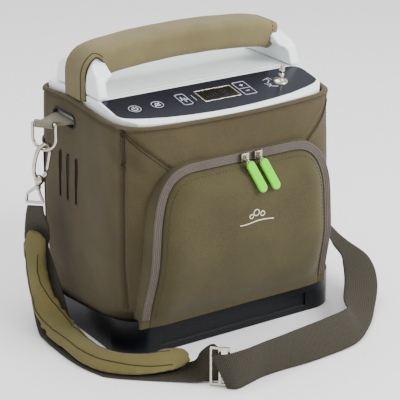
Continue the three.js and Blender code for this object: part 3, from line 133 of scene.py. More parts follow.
def joined(parts):
    """Several (points, faces) pairs as one."""
    points, faces = [], []
    for part_points, part_faces in parts:
        start = len(points)
        points.extend(part_points)
        faces.extend(tuple(i + start for i in face) for face in part_faces)
    return points, faces


def smooth_line(points, count, closed=False):
    """A smooth curve through the points, as count points evenly spaced along it."""
    points = np.asarray(points, dtype=float)
    if closed:
        padded = np.vstack([points[-1:], points, points[:2]])
    else:
        first = 2 * points[0] - points[1]
        final = 2 * points[-1] - points[-2]
        padded = np.vstack([first, points, final])
    dense = []
    for i in range(len(padded) - 3):
        a, b, c, d = padded[i : i + 4]
        for t in np.linspace(0, 1, 24, endpoint=False):
            square = (2 * a - 5 * b + 4 * c - d) * t**2
            cube = (3 * b - a - 3 * c + d) * t**3
            dense.append(0.5 * (2 * b + (c - a) * t + square + cube))
    if not closed:
        dense.append(padded[-2])
    dense = np.asarray(dense)
    ring = np.vstack([dense, dense[:1]]) if closed else dense
    steps = np.r_[0, np.cumsum(np.linalg.norm(np.diff(ring, axis=0), axis=1))]
    wanted = np.linspace(0, steps[-1], count + 1)[:-1] if closed else np.linspace(0, steps[-1], count)
    return np.stack([np.interp(wanted, steps, ring[:, k]) for k in range(ring.shape[1])], axis=1)


def length_of(points):
    """The length of a line through the points."""
    return float(np.linalg.norm(np.diff(np.asarray(points), axis=0), axis=1).sum())


def unit(vectors):
    """Each vector at length one."""
    return vectors / np.maximum(np.linalg.norm(vectors, axis=-1, keepdims=True), 1e-12)


def tube(line, radius, sides=12, closed=False):
    """A round wire along a line of points, its section carried along without twist."""
    line = np.asarray(line, dtype=float)
    if closed:
        along = unit(np.roll(line, -1, axis=0) - np.roll(line, 1, axis=0))
    else:
        along = unit(np.gradient(line, axis=0))
    radius = np.broadcast_to(radius, (len(line),))
    side = np.cross(along[0], (0, 0, 1))
    if np.linalg.norm(side) < 0.1:
        side = np.cross(along[0], (0, 1, 0))
    rows = []
    angles = np.linspace(0, 2 * math.pi, sides, endpoint=False)
    for point, direction, size in zip(line, along, radius):
        side = unit(side - direction * np.dot(side, direction))
        lift = np.cross(direction, side)
        rows.append(point + size * (np.outer(np.cos(angles), side) + np.outer(np.sin(angles), lift)))
    if closed:
        rows.append(rows[0])
    return skin(rows, closed=True, caps=not closed)


def applied(piece):
    """The result of the piece's modifiers, which becomes its mesh."""
    depsgraph = bpy.context.evaluated_depsgraph_get()
    result = bpy.data.meshes.new_from_object(piece.evaluated_get(depsgraph))
    piece.modifiers.clear()
    piece.data = result
    return result


STITCH_LENGTH = 0.0028
STITCH_GAP = 0.0014


def stitches(line, radius=0.00042):
    """A row of short threads along a line, each sunk at its ends."""
    count = max(1, int(length_of(line) / (STITCH_LENGTH + STITCH_GAP)))
    fine = smooth_line(line, count * 6 + 1)
    parts = []
    for i in range(count):
        thread = fine[i * 6 : i * 6 + 5]
        parts.append(tube(thread, radius * np.array([0.35, 1, 1.1, 1, 0.35]), sides=6))
    return joined(parts)

# %% [markdown]
# ## Finishes
# A finish is one node tree. Real fabric is never one flat colour, so each has a broad cloud of shade, a fine
# speckle from the knit, and a bump at the size of the yarn. Plastic and metal get fine grain and uneven gloss.
# Object coordinates are metres here, so a scale of 900 is a detail of about a millimetre.

# %% Finish helpers
def linear(red, green, blue):
    """An 8-bit screen colour as Blender's linear colour."""
    def channel(value):
        value /= 255
        return value / 12.92 if value <= 0.04045 else ((value + 0.055) / 1.055) ** 2.4

    return (channel(red), channel(green), channel(blue), 1.0)


def start_finish(name, roughness, metallic=0.0):
    finish = bpy.data.materials.new(name)
    finish.use_nodes = True
    tree = finish.node_tree
    shader = tree.nodes["Principled BSDF"]
    shader.inputs["Roughness"].default_value = roughness
    shader.inputs["Metallic"].default_value = metallic
    return finish, tree, shader


def add_node(tree, kind, **values):
    node = tree.nodes.new(kind)
    for key, value in values.items():
        if key in node.inputs:
            node.inputs[key].default_value = value
        else:
            setattr(node, key, value)
    return node


def noise_at(tree, scale, detail=2.0):
    place = add_node(tree, "ShaderNodeTexCoord")
    cloud = add_node(tree, "ShaderNodeTexNoise", Scale=scale, Detail=detail)
    tree.links.new(place.outputs["Object"], cloud.inputs["Vector"])
    return cloud.outputs["Fac"]


def shade_between(tree, factor, dark, light, low=0.35, high=0.65):
    """Two colours mixed by a factor that is first stretched between low and high."""
    spread = add_node(tree, "ShaderNodeMapRange", **{"From Min": low, "From Max": high})
    tree.links.new(factor, spread.inputs["Value"])
    mix = add_node(tree, "ShaderNodeMix", data_type="RGBA")
    mix.inputs[6].default_value = dark
    mix.inputs[7].default_value = light
    tree.links.new(spread.outputs["Result"], mix.inputs["Factor"])
    return mix.outputs[2]


def bumped(tree, shader, height, strength, distance):
    bump = add_node(tree, "ShaderNodeBump", Strength=strength, Distance=distance)
    tree.links.new(height, bump.inputs["Height"])
    tree.links.new(bump.outputs["Normal"], shader.inputs["Normal"])


def scaled(colour, share):
    return tuple(min(1.0, value * share) for value in colour[:3]) + (1.0,)


def knit_fabric(name, colour, speckle=0.16, cloud=0.10, sheen=0.08):
    """Thin knit over foam: broad soft shade, millimetre speckle, a bump at the size of its yarn."""
    finish, tree, shader = start_finish(name, 0.88)
    broad = shade_between(tree, noise_at(tree, 22, 3), scaled(colour, 1 - cloud), scaled(colour, 1 + cloud))
    fine = noise_at(tree, 950, 3)
    spread = add_node(tree, "ShaderNodeMapRange", **{"From Min": 0.3, "From Max": 0.7})
    spread.inputs["To Min"].default_value = 1 - speckle
    spread.inputs["To Max"].default_value = 1 + speckle
    tree.links.new(fine, spread.inputs["Value"])
    tint = add_node(tree, "ShaderNodeMix", data_type="RGBA", blend_type="MULTIPLY")
    tint.inputs["Factor"].default_value = 1
    tree.links.new(broad, tint.inputs[6])
    tree.links.new(spread.outputs["Result"], tint.inputs[7])
    tree.links.new(tint.outputs[2], shader.inputs["Base Color"])
    shader.inputs["Sheen Weight"].default_value = sheen
    shader.inputs["Sheen Roughness"].default_value = 0.5
    shader.inputs["Specular IOR Level"].default_value = 0.2
    bumped(tree, shader, noise_at(tree, 1500, 2), 0.35, 0.0006)
    return finish


def moulded_plastic(name, colour, roughness, grain=1400, depth=0.0001, cloud=0.05, coat=0.0):
    """Moulded plastic: very fine grain, gloss that varies a little, a hint of shade."""
    finish, tree, shader = start_finish(name, roughness)
    shade = shade_between(tree, noise_at(tree, 40, 3), scaled(colour, 1 - cloud), scaled(colour, 1 + cloud))
    tree.links.new(shade, shader.inputs["Base Color"])
    gloss = add_node(tree, "ShaderNodeMapRange")
    gloss.inputs["To Min"].default_value = roughness * 0.85
    gloss.inputs["To Max"].default_value = roughness * 1.15
    tree.links.new(noise_at(tree, 120, 4), gloss.inputs["Value"])
    tree.links.new(gloss.outputs["Result"], shader.inputs["Roughness"])
    shader.inputs["Coat Weight"].default_value = coat
    bumped(tree, shader, noise_at(tree, grain, 2), 0.25, depth)
    return finish


def worn_metal(name, colour, roughness, scratch=700):
    """Plated or bare metal: fine brushed marks and patches of duller finish."""
    finish, tree, shader = start_finish(name, roughness, 1.0)
    shade = shade_between(tree, noise_at(tree, 160, 4), scaled(colour, 0.86), scaled(colour, 1.06))
    tree.links.new(shade, shader.inputs["Base Color"])
    gloss = add_node(tree, "ShaderNodeMapRange")
    gloss.inputs["To Min"].default_value = roughness * 0.7
    gloss.inputs["To Max"].default_value = roughness * 1.5
    tree.links.new(noise_at(tree, 300, 4), gloss.inputs["Value"])
    tree.links.new(gloss.outputs["Result"], shader.inputs["Roughness"])
    bumped(tree, shader, noise_at(tree, scratch, 5), 0.15, 0.0001)
    return finish


WEFT_PERIOD = 0.0016
RIB_PERIOD = 0.0021


def ribbed_webbing(name, colour):
    """Woven strap: ribs along its length crossed by the weft, from the weave map that bands carry."""
    finish, tree, shader = start_finish(name, 0.82)
    place = add_node(tree, "ShaderNodeUVMap", uv_map="weave")
    waves = []
    for turned, period in ((0, WEFT_PERIOD), (1, RIB_PERIOD)):
        turn_node = add_node(tree, "ShaderNodeMapping")
        turn_node.inputs["Rotation"].default_value = (0, 0, turned * math.pi / 2)
        tree.links.new(place.outputs["UV"], turn_node.inputs["Vector"])
        wave = add_node(tree, "ShaderNodeTexWave", Scale=1 / period / 3.18, Distortion=1.2, Detail=2.0)
        wave.inputs["Detail Scale"].default_value = 2.0
        tree.links.new(turn_node.outputs["Vector"], wave.inputs["Vector"])
        waves.append(wave.outputs["Fac"])
    weave = add_node(tree, "ShaderNodeMath", operation="MULTIPLY")
    tree.links.new(waves[0], weave.inputs[0])
    tree.links.new(waves[1], weave.inputs[1])
    broken = add_node(tree, "ShaderNodeMath", operation="MULTIPLY_ADD")
    broken.inputs[1].default_value = 0.7
    tree.links.new(noise_at(tree, 900, 3), broken.inputs[0])
    tree.links.new(weave.outputs[0], broken.inputs[2])
    shade = shade_between(tree, broken.outputs[0], scaled(colour, 0.55), scaled(colour, 1.35), 0.3, 1.0)
    tree.links.new(shade, shader.inputs["Base Color"])
    shader.inputs["Specular IOR Level"].default_value = 0.25
    bumped(tree, shader, broken.outputs[0], 0.6, 0.0006)
    return finish

# %% Finishes of this object
CASE_OLIVE = linear(69, 61, 41)
finishes = {
    "case_fabric": knit_fabric("case_fabric", CASE_OLIVE),
    "pocket_fabric": knit_fabric("pocket_fabric", linear(68, 62, 40)),
    "pad_fabric": knit_fabric("pad_fabric", linear(96, 89, 52), speckle=0.10),
    "wrap_fabric": knit_fabric("wrap_fabric", linear(110, 101, 70), speckle=0.10),
    # seam_thread colours threads, and also the sleeve's crease lines, where it is painted shade along the seam and
    # hem folds.
    "seam_thread": knit_fabric("seam_thread", linear(40, 34, 22), speckle=0.1, sheen=0.05),
    # binding_tape colours the vent's binding, and the tape round the side slits, which is also painted shade inside
    # them.
    "binding_tape": knit_fabric("binding_tape", linear(24, 22, 19), sheen=0.15),
    "zip_tape": knit_fabric("zip_tape", linear(84, 76, 70), speckle=0.22, sheen=0.1),
    "mark_thread": knit_fabric("mark_thread", linear(222, 218, 196), speckle=0.12, sheen=0.1),
    "webbing": ribbed_webbing("webbing", linear(56, 52, 42)),
    "tab_webbing": ribbed_webbing("tab_webbing", linear(128, 122, 108)),
    "boot_plastic": moulded_plastic("boot_plastic", linear(10, 11, 16), 0.3, depth=0.0002),
    "white_shell": moulded_plastic("white_shell", linear(240, 246, 248), 0.3, cloud=0.02, coat=0.2),
    "panel_film": moulded_plastic("panel_film", linear(18, 20, 32), 0.24, cloud=0.04),
    "key_film": moulded_plastic("key_film", linear(20, 22, 35), 0.26, cloud=0.04),
    "print_white": moulded_plastic("print_white", linear(214, 218, 226), 0.4),
    "lcd_glass": moulded_plastic("lcd_glass", linear(9, 9, 5), 0.12),
    "nickel": worn_metal("nickel", linear(196, 193, 176), 0.2),
    "zip_metal": worn_metal("zip_metal", linear(170, 164, 150), 0.3),
    "pull_rubber": moulded_plastic("pull_rubber", linear(96, 218, 0), 0.7, depth=0.0003, cloud=0.05),
    "latch_green": moulded_plastic("latch_green", linear(110, 210, 20), 0.4, depth=0.0002),
    "screw_steel": worn_metal("screw_steel", linear(140, 142, 145), 0.3),
    "battery_case": moulded_plastic("battery_case", linear(30, 32, 38), 0.5, grain=900, depth=0.0004),
    # machine_shell colours the inner machine, and the two grey lines on the cover, which are painted shade of two
    # groove lines in the white cover.
    "machine_shell": moulded_plastic("machine_shell", linear(150, 154, 156), 0.45, grain=900, depth=0.0003),
    "black_parts": moulded_plastic("black_parts", linear(26, 26, 29), 0.5, grain=900, depth=0.0003),
    "cast_alloy": worn_metal("cast_alloy", linear(165, 168, 170), 0.5, scratch=260),
    "bed_alloy": worn_metal("bed_alloy", linear(196, 198, 200), 0.28),
    "rotor_steel": worn_metal("rotor_steel", linear(150, 152, 156), 0.32),
    "board": moulded_plastic("board", linear(26, 92, 50), 0.4, grain=500, depth=0.0004),
    "foam": knit_fabric("foam", linear(60, 62, 64), speckle=0.5, sheen=0.0),
}
print(len(finishes), "finishes")

# Dark films, the boot and the soft pulls mirror little of a bright room.
MIRROR_LEVELS = {
    "boot_plastic": 0.22,
    "panel_film": 0.16,
    "key_film": 0.16,
    "lcd_glass": 0.2,
    "pull_rubber": 0.2,
}
for name, level in MIRROR_LEVELS.items():
    shader = next(node for node in finishes[name].node_tree.nodes if node.type == "BSDF_PRINCIPLED")
    shader.inputs["Specular IOR Level"].default_value = level

# %% [markdown]
# Every hard piece that the frame already shapes well keeps its mesh and takes its finish from the record's
# own list of slots, so the two never disagree. Wherever a better piece replaces one, it does so further on.

# %% Finishes on the frame's own pieces
slots = {entry["node"]: entry["material_slot"] for entry in record["subparts"]}
for name, node in nodes.items():
    for place in node.material_slots:
        place.material = finishes[slots[name]]
    if not node.material_slots:
        node.data.materials.append(finishes[slots[name]])
print(len(nodes), "frame pieces have a finish")

# %% [markdown]
# ## Shoulder strap
# The strap leaves the left swivel eye as webbing, runs under a padded shoulder piece, through a slide adjuster,
# and round the front to the right swivel eye. Webbing is a flat woven band about 2 mm thick, so it is modelled
# directly as a band along its route. Each station of a route is a middle and the direction of the band's width.

# %% Strap routes
def stations(*rows):
    """Stations given in millimetres, as middles in metres and unit width directions."""
    rows = np.asarray(rows, dtype=float)
    return np.hstack([rows[:, :3] * MM, unit(rows[:, 3:])])


SHORT_ROUTE = stations(
    (-165, 28.2, 134.2, 0, -1, 0.3),
    (-163.5, 32, 123, 0.1, -1, 0.28),
    (-159, 38, 110, 0.25, -0.96, 0.15),
    (-156.8, 42, 96, 0.31, -0.94, 0),
    (-156.6, 43, 80, 0.31, -0.94, 0),
)
PAD_ROUTE = stations(
    (-165, 33, 106, 0.31, -0.94, 0.1),
    (-166, 33, 90, 0.31, -0.94, 0.1),
    (-166.5, 32, 74, 0.31, -0.94, 0.1),
    (-166.5, 29, 57, 0.33, -0.92, 0.1),
    (-166, 21, 37, 0.45, -0.8, 0.3),
    (-165, 5, 21, 0.75, -0.5, 0.3),
    (-164, -16, 12, 0.97, -0.1, 0.2),
    (-163, -42, 9.5, 1, 0, 0.12),
    (-162, -70, 9.5, 0.97, 0.2, 0.12),
    (-156, -97, 9.5, 0.85, 0.5, 0.12),
    (-142, -119, 9.8, 0.62, 0.78, 0.12),
    (-124, -134, 10.5, 0.5, 0.85, 0.15),
    (-105, -143, 12, 0.4, 0.88, 0.2),
    (-88, -149, 14, 0.35, 0.9, 0.22),
)
TAIL_ROUTE = stations(
    (-106, -149, 1.8, 0.5, 0.86, 0.03),
    (-95, -155, 3.2, 0.5, 0.85, 0.08),
    (-84, -163, 10, 0.42, 0.78, 0.45),
    (-79, -173, 17.2, 0.25, 0.4, 0.87),
    (-78.5, -184, 20.2, -0.05, 0.1, 0.99),
)
LONG_ROUTE = stations(
    (-85, -194.5, 17.6, -0.3, 0.3, 0.9),
    (-75, -202.5, 18.6, -0.2, 0.2, 0.95),
    (-58, -203, 19.6, -0.05, 0.05, 1),
    (-35, -199, 19.7, 0, 0, 1),
    (-10, -197, 19.6, 0, 0.05, 1),
    (20, -194.5, 19.1, 0, 0.22, 0.97),
    (51, -190.5, 18.6, 0.05, 0.34, 0.94),
    (88, -180.5, 16.6, 0.1, 0.6, 0.79),
    (109, -162, 15.6, -0.25, 0.75, 0.6),
    (130, -140, 17.5, -0.7, 0.5, 0.48),
    (152, -115, 27, -0.88, 0.38, 0.2),
    (163, -93, 37.5, -0.98, -0.05, -0.05),
    (168, -65, 44, -0.75, -0.65, -0.05),
    (170, -41, 50, -0.6, -0.78, -0.1),
    (170.5, -15, 66, -0.3, -0.9, -0.25),
    (169.5, 8, 90, -0.1, -0.95, -0.2),
    (167, 23, 114, 0, -1, 0.2),
    (165.2, 27.8, 128, 0, -1, 0.3),
    (165, 28.2, 134.2, 0, -1, 0.3),
)


def smooth_stations(route, count):
    """More stations on a smooth curve: middles, widths and the faces square to both."""
    packed = np.hstack([route[:, :3], route[:, 3:] * 1e-4])
    fine = smooth_line(packed, count)
    middles, widths = fine[:, :3], unit(fine[:, 3:])
    faces = unit(np.cross(unit(np.gradient(middles, axis=0)), widths))
    return middles, widths, faces


pad_middles, pad_widths, pad_faces = smooth_stations(PAD_ROUTE, 60)
print("pad's route", round(length_of(pad_middles), 3), "m")

# %% Webbing
def band_piece(name, route, width, thickness, material, count):
    """A woven band with thick soft edges. Its weave map is metres along and across."""
    middles, widths, faces = smooth_stations(route, count)
    across = np.linspace(-1, 1, 15)
    edge = 1 - 0.45 * np.abs(across) ** 14
    top = [(a, e) for a, e in zip(across, edge)]
    section = top + [(a, -e) for a, e in reversed(top)]
    rows = [
        [m + w * a * width / 2 + f * e * thickness / 2 for a, e in section]
        for m, w, f in zip(middles, widths, faces)
    ]
    points, skin_faces = skin(rows)
    piece = new_piece(name, points, skin_faces, material)
    steps = np.r_[0, np.cumsum(np.linalg.norm(np.diff(middles, axis=0), axis=1))]
    wide = len(section)
    weave = piece.data.uv_layers.new(name="weave")
    for loop in piece.data.loops:
        row, column = divmod(loop.vertex_index, wide)
        if row < len(steps):
            weave.data[loop.index].uv = (steps[row], section[column][0] * width / 2)
    return piece, middles


# The webbing's depth under the pad's middle line, in metres, and the stretch of that line it follows.
UNDER_PAD = 0.0068
held = slice(20, 47)
under_middles = pad_middles[held] - pad_faces[held] * UNDER_PAD
under = np.hstack([under_middles, pad_widths[held]])[::4]
left_route = np.vstack([SHORT_ROUTE, under, TAIL_ROUTE[1:]])
strap_left, left_line = band_piece("strap_left", left_route, 0.036, 0.002, finishes["webbing"], 150)
strap_right, right_line = band_piece("strap_right", LONG_ROUTE, 0.038, 0.002, finishes["webbing"], 190)
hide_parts("strap_short", "strap_tail")
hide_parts("strap_long")
print("webbing", round(length_of(left_line), 3), "m and", round(length_of(right_line), 3), "m")

# %% [markdown]
# ### Slide adjuster
# The adjuster is a plated frame with a middle bar. The frame's piece has the right shape but its edges are
# razor sharp. A bevel modifier would round them; here the bevel is applied to a copy that replaces the piece.
# The same helper serves every moulded or cast piece later.

# %% Rounded copies
body_of_node = {name: body for body, names in record["behaviour"]["bodies"].items() for name in names}


SHARP_EDGE = math.radians(30)


def rounded_copy(node, material, radius, segments=3):
    """A copy of a frame piece with its edges rounded, which stands for that piece."""
    mesh = bpy.data.meshes.new(node + "_rounded")
    shape = bmesh.new()
    shape.from_mesh(nodes[node].data)
    shape.transform(nodes[node].matrix_world)
    bmesh.ops.remove_doubles(shape, verts=shape.verts, dist=1e-6)
    bmesh.ops.dissolve_limit(shape, angle_limit=math.radians(1.5), verts=shape.verts, edges=shape.edges)
    edges = [edge for edge in shape.edges if len(edge.link_faces) == 2 and edge.calc_face_angle() > SHARP_EDGE]
    bmesh.ops.bevel(
        shape,
        geom=edges,
        offset=radius,
        offset_type="OFFSET",
        segments=segments,
        profile=0.5,
        affect="EDGES",
        clamp_overlap=True,
    )
    bmesh.ops.recalc_face_normals(shape, faces=shape.faces)
    for face in shape.faces:
        face.smooth = True
    shape.to_mesh(mesh)
    shape.free()
    mesh.materials.clear()
    mesh.materials.append(material)
    piece = bpy.data.objects.new(node + "_rounded", mesh)
    bpy.context.scene.collection.objects.link(piece)
    even = piece.modifiers.new("even_light", "WEIGHTED_NORMAL")
    even.weight = 90
    applied(piece)
    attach(piece, body_of_node[node])
    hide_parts(node)
    return piece


adjuster = rounded_copy("slide_adjuster", finishes["nickel"], 0.0005)

print("strap declared, adjuster", len(adjuster.data.polygons), "faces")

# %% [markdown]
# ### Shoulder pad
# The pad is foam inside knit fabric, so it is fullest in the middle and tapers to rounded ends. A cloth
# simulation gives it that fullness: the shape starts slightly thin, is remeshed to even squares, and pressure
# swells it. How far any point may move is capped, so that the pad stays the size of the real one.

# %% Cloth helper
def swollen(name, points, faces, material, voxel, pressure, cap):
    """A closed shape swollen by cloth pressure for 20 frames, no point moving further than cap."""
    start = new_piece(name, points, faces, material)
    remesh = start.modifiers.new("even_squares", "REMESH")
    remesh.mode = "VOXEL"
    remesh.voxel_size = voxel
    even = applied(start)
    before = np.array([vertex.co for vertex in even.vertices])
    cloth = start.modifiers.new("cloth", "CLOTH")
    cloth.settings.use_pressure = True
    cloth.settings.uniform_pressure_force = pressure
    cloth.settings.effector_weights.gravity = 0
    cloth.settings.quality = 5
    cloth.collision_settings.use_collision = False
    scene = bpy.context.scene
    for frame_number in range(1, 21):
        scene.frame_set(frame_number)
    depsgraph = bpy.context.evaluated_depsgraph_get()
    evaluated = start.evaluated_get(depsgraph)
    after = np.array([vertex.co for vertex in evaluated.data.vertices])
    start.modifiers.clear()
    scene.frame_set(1)
    moves = after - before
    reach = np.linalg.norm(moves, axis=1, keepdims=True)
    moves = moves * np.minimum(1, cap / np.maximum(reach, 1e-9))
    even.vertices.foreach_set("co", (before + moves).ravel())
    print(name, "moved up to", round(float(reach.max()), 4), "m before the cap")
    finer = start.modifiers.new("finer", "SUBSURF")
    finer.levels = finer.render_levels = 1
    final = applied(start)
    final.materials.clear()
    final.materials.append(material)
    for polygon in final.polygons:
        polygon.use_smooth = True
    return start

# %% Shoulder pad
PAD_HALF_WIDTH = 0.0172
PAD_HALF_THICK = 0.0036
PAD_VOXEL = 0.004
PAD_PRESSURE = 4.0
PAD_CAP = 0.005
pad_rows = []
for i, (middle, width, face) in enumerate(zip(pad_middles, pad_widths, pad_faces)):
    t = i / (len(pad_middles) - 1)
    ending = min(1.0, 14 * min(t, 1 - t) + 0.02)
    share = 0.35 + 0.65 * math.sqrt(1 - (1 - ending) ** 2)
    angles = np.linspace(0, 2 * math.pi, 24, endpoint=False)
    wide = np.sign(np.cos(angles)) * np.abs(np.cos(angles)) ** 0.65 * PAD_HALF_WIDTH * share
    thick = np.sign(np.sin(angles)) * np.abs(np.sin(angles)) ** 0.8 * PAD_HALF_THICK * (0.5 + 0.5 * share)
    pad_rows.append(middle + np.outer(wide, width) + np.outer(thick, face))
pad_points, pad_skin = skin(pad_rows)
shoulder_pad = swollen(
    "shoulder_pad_soft", pad_points, pad_skin, finishes["pad_fabric"], PAD_VOXEL, PAD_PRESSURE, PAD_CAP
)
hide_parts("shoulder_pad")
print("pad", len(shoulder_pad.data.polygons), "faces")

# %% Pad seam
def surface_of(piece):
    """A search tree of the piece's faces."""
    faces = [tuple(polygon.vertices) for polygon in piece.data.polygons]
    return BVHTree.FromPolygons([vertex.co for vertex in piece.data.vertices], faces)


def laid_on(tree, points, lift):
    """The nearest surface points to these, each raised outwards by lift."""
    out = []
    for point in points:
        place, normal, _, _ = tree.find_nearest(Vector(point))
        out.append(tuple(place + normal * lift))
    return np.array(out)


pad_tree = surface_of(shoulder_pad)
pad_seams = []
for share in (-0.72, 0.72):
    edge = (pad_middles + pad_widths * PAD_HALF_WIDTH * share + pad_faces * 0.012)[5:-4]
    pad_seams.append(tube(smooth_line(laid_on(pad_tree, edge, 0.0001), 200), 0.0005, sides=6))
pad_seam = new_piece("pad_seam", *joined(pad_seams), finishes["seam_thread"])

# %% [markdown]
# ## Fabric sleeve
# The real sleeve is foam faced with knit fabric, cut as panels that are sewn at the front corners and along two
# slanting gussets, and turned over at the rim. It could be a cloth simulation, but the machine inside holds the
# shape, so a dense loft of two plan outlines does the job: every seam is a groove pressed into it, and noise
# gives the slack that sewn foam has. The height and the distance round the case are the surface's coordinates.

# %% Sleeve outlines
def bezier(controls, shares):
    """Points of a Bezier curve at shares of its way."""
    controls = np.asarray(controls, dtype=float)
    degree = len(controls) - 1
    weights = [math.comb(degree, k) * shares**k * (1 - shares) ** (degree - k) for k in range(degree + 1)]
    return np.stack(weights, axis=1) @ controls


def case_plan(half, front, shoulder, back, corner):
    """The case seen from above in mm, anticlockwise from the middle of the back."""
    def share(count):
        return np.linspace(0, 1, count, endpoint=False)

    turn = math.pi / 2 * (1 + share(16))
    arc = np.stack([corner - half + corner * np.cos(turn), back - corner + corner * np.sin(turn)], axis=1)
    bend = [(-half, shoulder / 2), (-half, 0.82 * shoulder), (-0.92 * half, 0.95 * shoulder)]
    half_way = np.vstack([
        bezier([(0, back), (corner - half, back)], share(50)),
        arc,
        bezier([(-half, back - corner), (-half, shoulder / 2)], share(66)),
        bezier([*bend, (-0.75 * half, shoulder)], share(48)),
        bezier([(-0.75 * half, shoulder), (0, 2 * front - shoulder), (0.75 * half, shoulder)],
               np.linspace(0, 0.5, 60)),
    ])
    return np.vstack([half_way, (half_way * (-1, 1))[-2:0:-1]])


CASE_HALF = 128
SLEEVE_FOOT = 7
SLEEVE_RIM = 243
SLEEVE_HIGH = SLEEVE_RIM - SLEEVE_FOOT
SLEEVE_WALL = 4.0
ROLL_RADIUS = SLEEVE_WALL / 2
HEM = 237.2
UPPER_PLAN = case_plan(CASE_HALF, -105, -97, 90, 24)
LOWER_PLAN = case_plan(CASE_HALF, -88, -87, 91, 24)
plan_steps = np.linalg.norm(np.roll(UPPER_PLAN, -1, axis=0) - UPPER_PLAN, axis=1)
plan_way = np.r_[0, np.cumsum(plan_steps)[:-1]]
plan_whole = float(plan_steps.sum())


def smooth_step(value, low, high):
    """0 up to low, 1 from high on, and an even rise between."""
    t = np.clip((value - low) / (high - low), 0, 1)
    return t * t * (3 - 2 * t)


def outward(plan):
    """The outward direction at each point of an outline."""
    run = unit(np.roll(plan, -1, axis=0) - np.roll(plan, 1, axis=0))
    return np.stack([run[:, 1], -run[:, 0]], axis=1)


def rim_height(plan):
    """The rim's height in mm, which rises a little over the two sides."""
    side = smooth_step(np.abs(plan[:, 0]), 0.7 * CASE_HALF, CASE_HALF)
    return SLEEVE_RIM + 5 * side * np.exp(-(((plan[:, 1] - 20) / 45) ** 2))


def way_of(x, y):
    """The distance round the upper outline of the place nearest to a plan point."""
    return float(plan_way[np.argmin(np.linalg.norm(UPPER_PLAN - (x, y), axis=1))])


print("round the case", round(plan_whole), "mm in", len(UPPER_PLAN), "columns")

# %% Sleeve relief
SEAM_LINES = []
for side in (-1, 1):
    corner_way = way_of(side * 124, -80)
    zip_way = way_of(side * 79, -98)
    SEAM_LINES.append(((corner_way, 41), (corner_way, 238)))
    SEAM_LINES.append(((corner_way, 238), (zip_way, 196)))


def distance_to(ways, height, seam):
    """Distances in mm on the unrolled surface to a seam's straight line."""
    (a_way, a_height), (b_way, b_height) = seam
    run = np.array([b_way - a_way, b_height - a_height])
    rel = np.stack([ways - a_way, np.full_like(ways, height) - a_height], axis=1)
    t = np.clip(rel @ run / (run @ run), 0, 1)
    return np.linalg.norm(rel - t[:, None] * run, axis=1)


def relief(ways, plan, height):
    """How far the sleeve stands out of its smooth shape, in mm."""
    broad = [0.9 * noise.noise(Vector((x / 46, y / 46, height / 52))) for x, y in plan]
    small = [0.35 * noise.noise(Vector((x / 17, y / 17, height / 20))) for x, y in plan]
    soft = np.array(broad) + np.array(small)
    left_corner = SEAM_LINES[0][0][0]
    slant = (ways - left_corner) * 0.75 + (height - 215) * 0.9
    nearness = np.exp(-(((ways - left_corner - 12) / 26) ** 2) - (((height - 212) / 26) ** 2))
    soft += 0.9 * np.sin(slant / 4.2) * nearness
    for seam in SEAM_LINES:
        away = distance_to(ways, height, seam)
        soft += 0.8 * np.exp(-(((away - 4.5) / 3.2) ** 2)) - 2.0 * np.exp(-((away / 1.6) ** 2))
    return soft * smooth_step(height, 40, 60)


def sleeve_ring(height_share, sink=0.0, drop=0.0, lively=True):
    """One ring of the sleeve in mm, at a share of the way from its foot to its rim."""
    level = SLEEVE_FOOT + SLEEVE_HIGH * height_share
    body = smooth_step(level, 41, 50)
    plan = LOWER_PLAN * (1 - body) + UPPER_PLAN * body
    levels = (SLEEVE_FOOT, 41, 50, 97, 158, 219, SLEEVE_RIM)
    grow = float(np.interp(level, levels, (0, 0, -1, 3, 3, 1, 0)))
    if lively:
        grow = grow + relief(plan_way, plan, level)
        grow = grow + 1.3 * smooth_step(level, HEM - 0.6, HEM + 2.2) - np.exp(-(((level - HEM) / 1.5) ** 2))
    plan = plan + outward(plan) * np.reshape(grow - sink, (-1, 1))
    lift = (rim_height(UPPER_PLAN) - SLEEVE_RIM) * smooth_step(height_share, 0.8, 1.0)
    return np.column_stack([plan, level + lift - drop])


roll_start = 1 - ROLL_RADIUS / SLEEVE_HIGH
sleeve_rows = [sleeve_ring(share) for share in np.linspace(0, roll_start, 128)]
for angle in np.linspace(0, math.pi, 8)[1:-1]:
    roll_in = ROLL_RADIUS - ROLL_RADIUS * math.cos(angle)
    ring = sleeve_ring(1.0, roll_in, ROLL_RADIUS - ROLL_RADIUS * math.sin(angle), lively=False)
    ring[:, :2] += outward(UPPER_PLAN) * 1.3 * (1 - roll_in / SLEEVE_WALL)
    sleeve_rows.append(ring)
sleeve_rows += [sleeve_ring(share, SLEEVE_WALL, lively=False) for share in np.linspace(roll_start, 0, 26)]
print("sleeve", len(sleeve_rows), "rings")

# %% Sleeve openings
def welded(piece):
    """Joins the piece's coincident points."""
    shape = bmesh.new()
    shape.from_mesh(piece.data)
    bmesh.ops.remove_doubles(shape, verts=shape.verts, dist=1e-7)
    bmesh.ops.recalc_face_normals(shape, faces=shape.faces)
    shape.to_mesh(piece.data)
    shape.free()


def cut_away(piece, cutters):
    """The piece with each cutter's space removed; the cutters are deleted."""
    for cutter in cutters:
        cut = piece.modifiers.new("cut", "BOOLEAN")
        cut.operation = "DIFFERENCE"
        cut.solver = "MANIFOLD"
        cut.object = cutter
        applied(piece)
        bpy.data.objects.remove(cutter)


def rounded_slot(middle, half_long, half_high, count=8):
    """A slot's outline on a side wall: (y, z) in mm with round ends."""
    radius = min(half_long, half_high)
    ring = []
    for end, start in ((1, -math.pi / 2), (-1, math.pi / 2)):
        for angle in np.linspace(start, start + math.pi, count):
            if half_long >= half_high:
                ring.append((end * (half_long - radius) + radius * math.cos(angle), radius * math.sin(angle)))
            else:
                ring.append((radius * math.sin(-angle), end * (half_high - radius) + radius * math.cos(angle)))
    return np.array(ring) + middle


def cutter_through(rows):
    """A block over rows given in mm, for cutting the sleeve."""
    return new_piece("cutter", *skin(np.array(rows) * MM), finishes["case_fabric"])


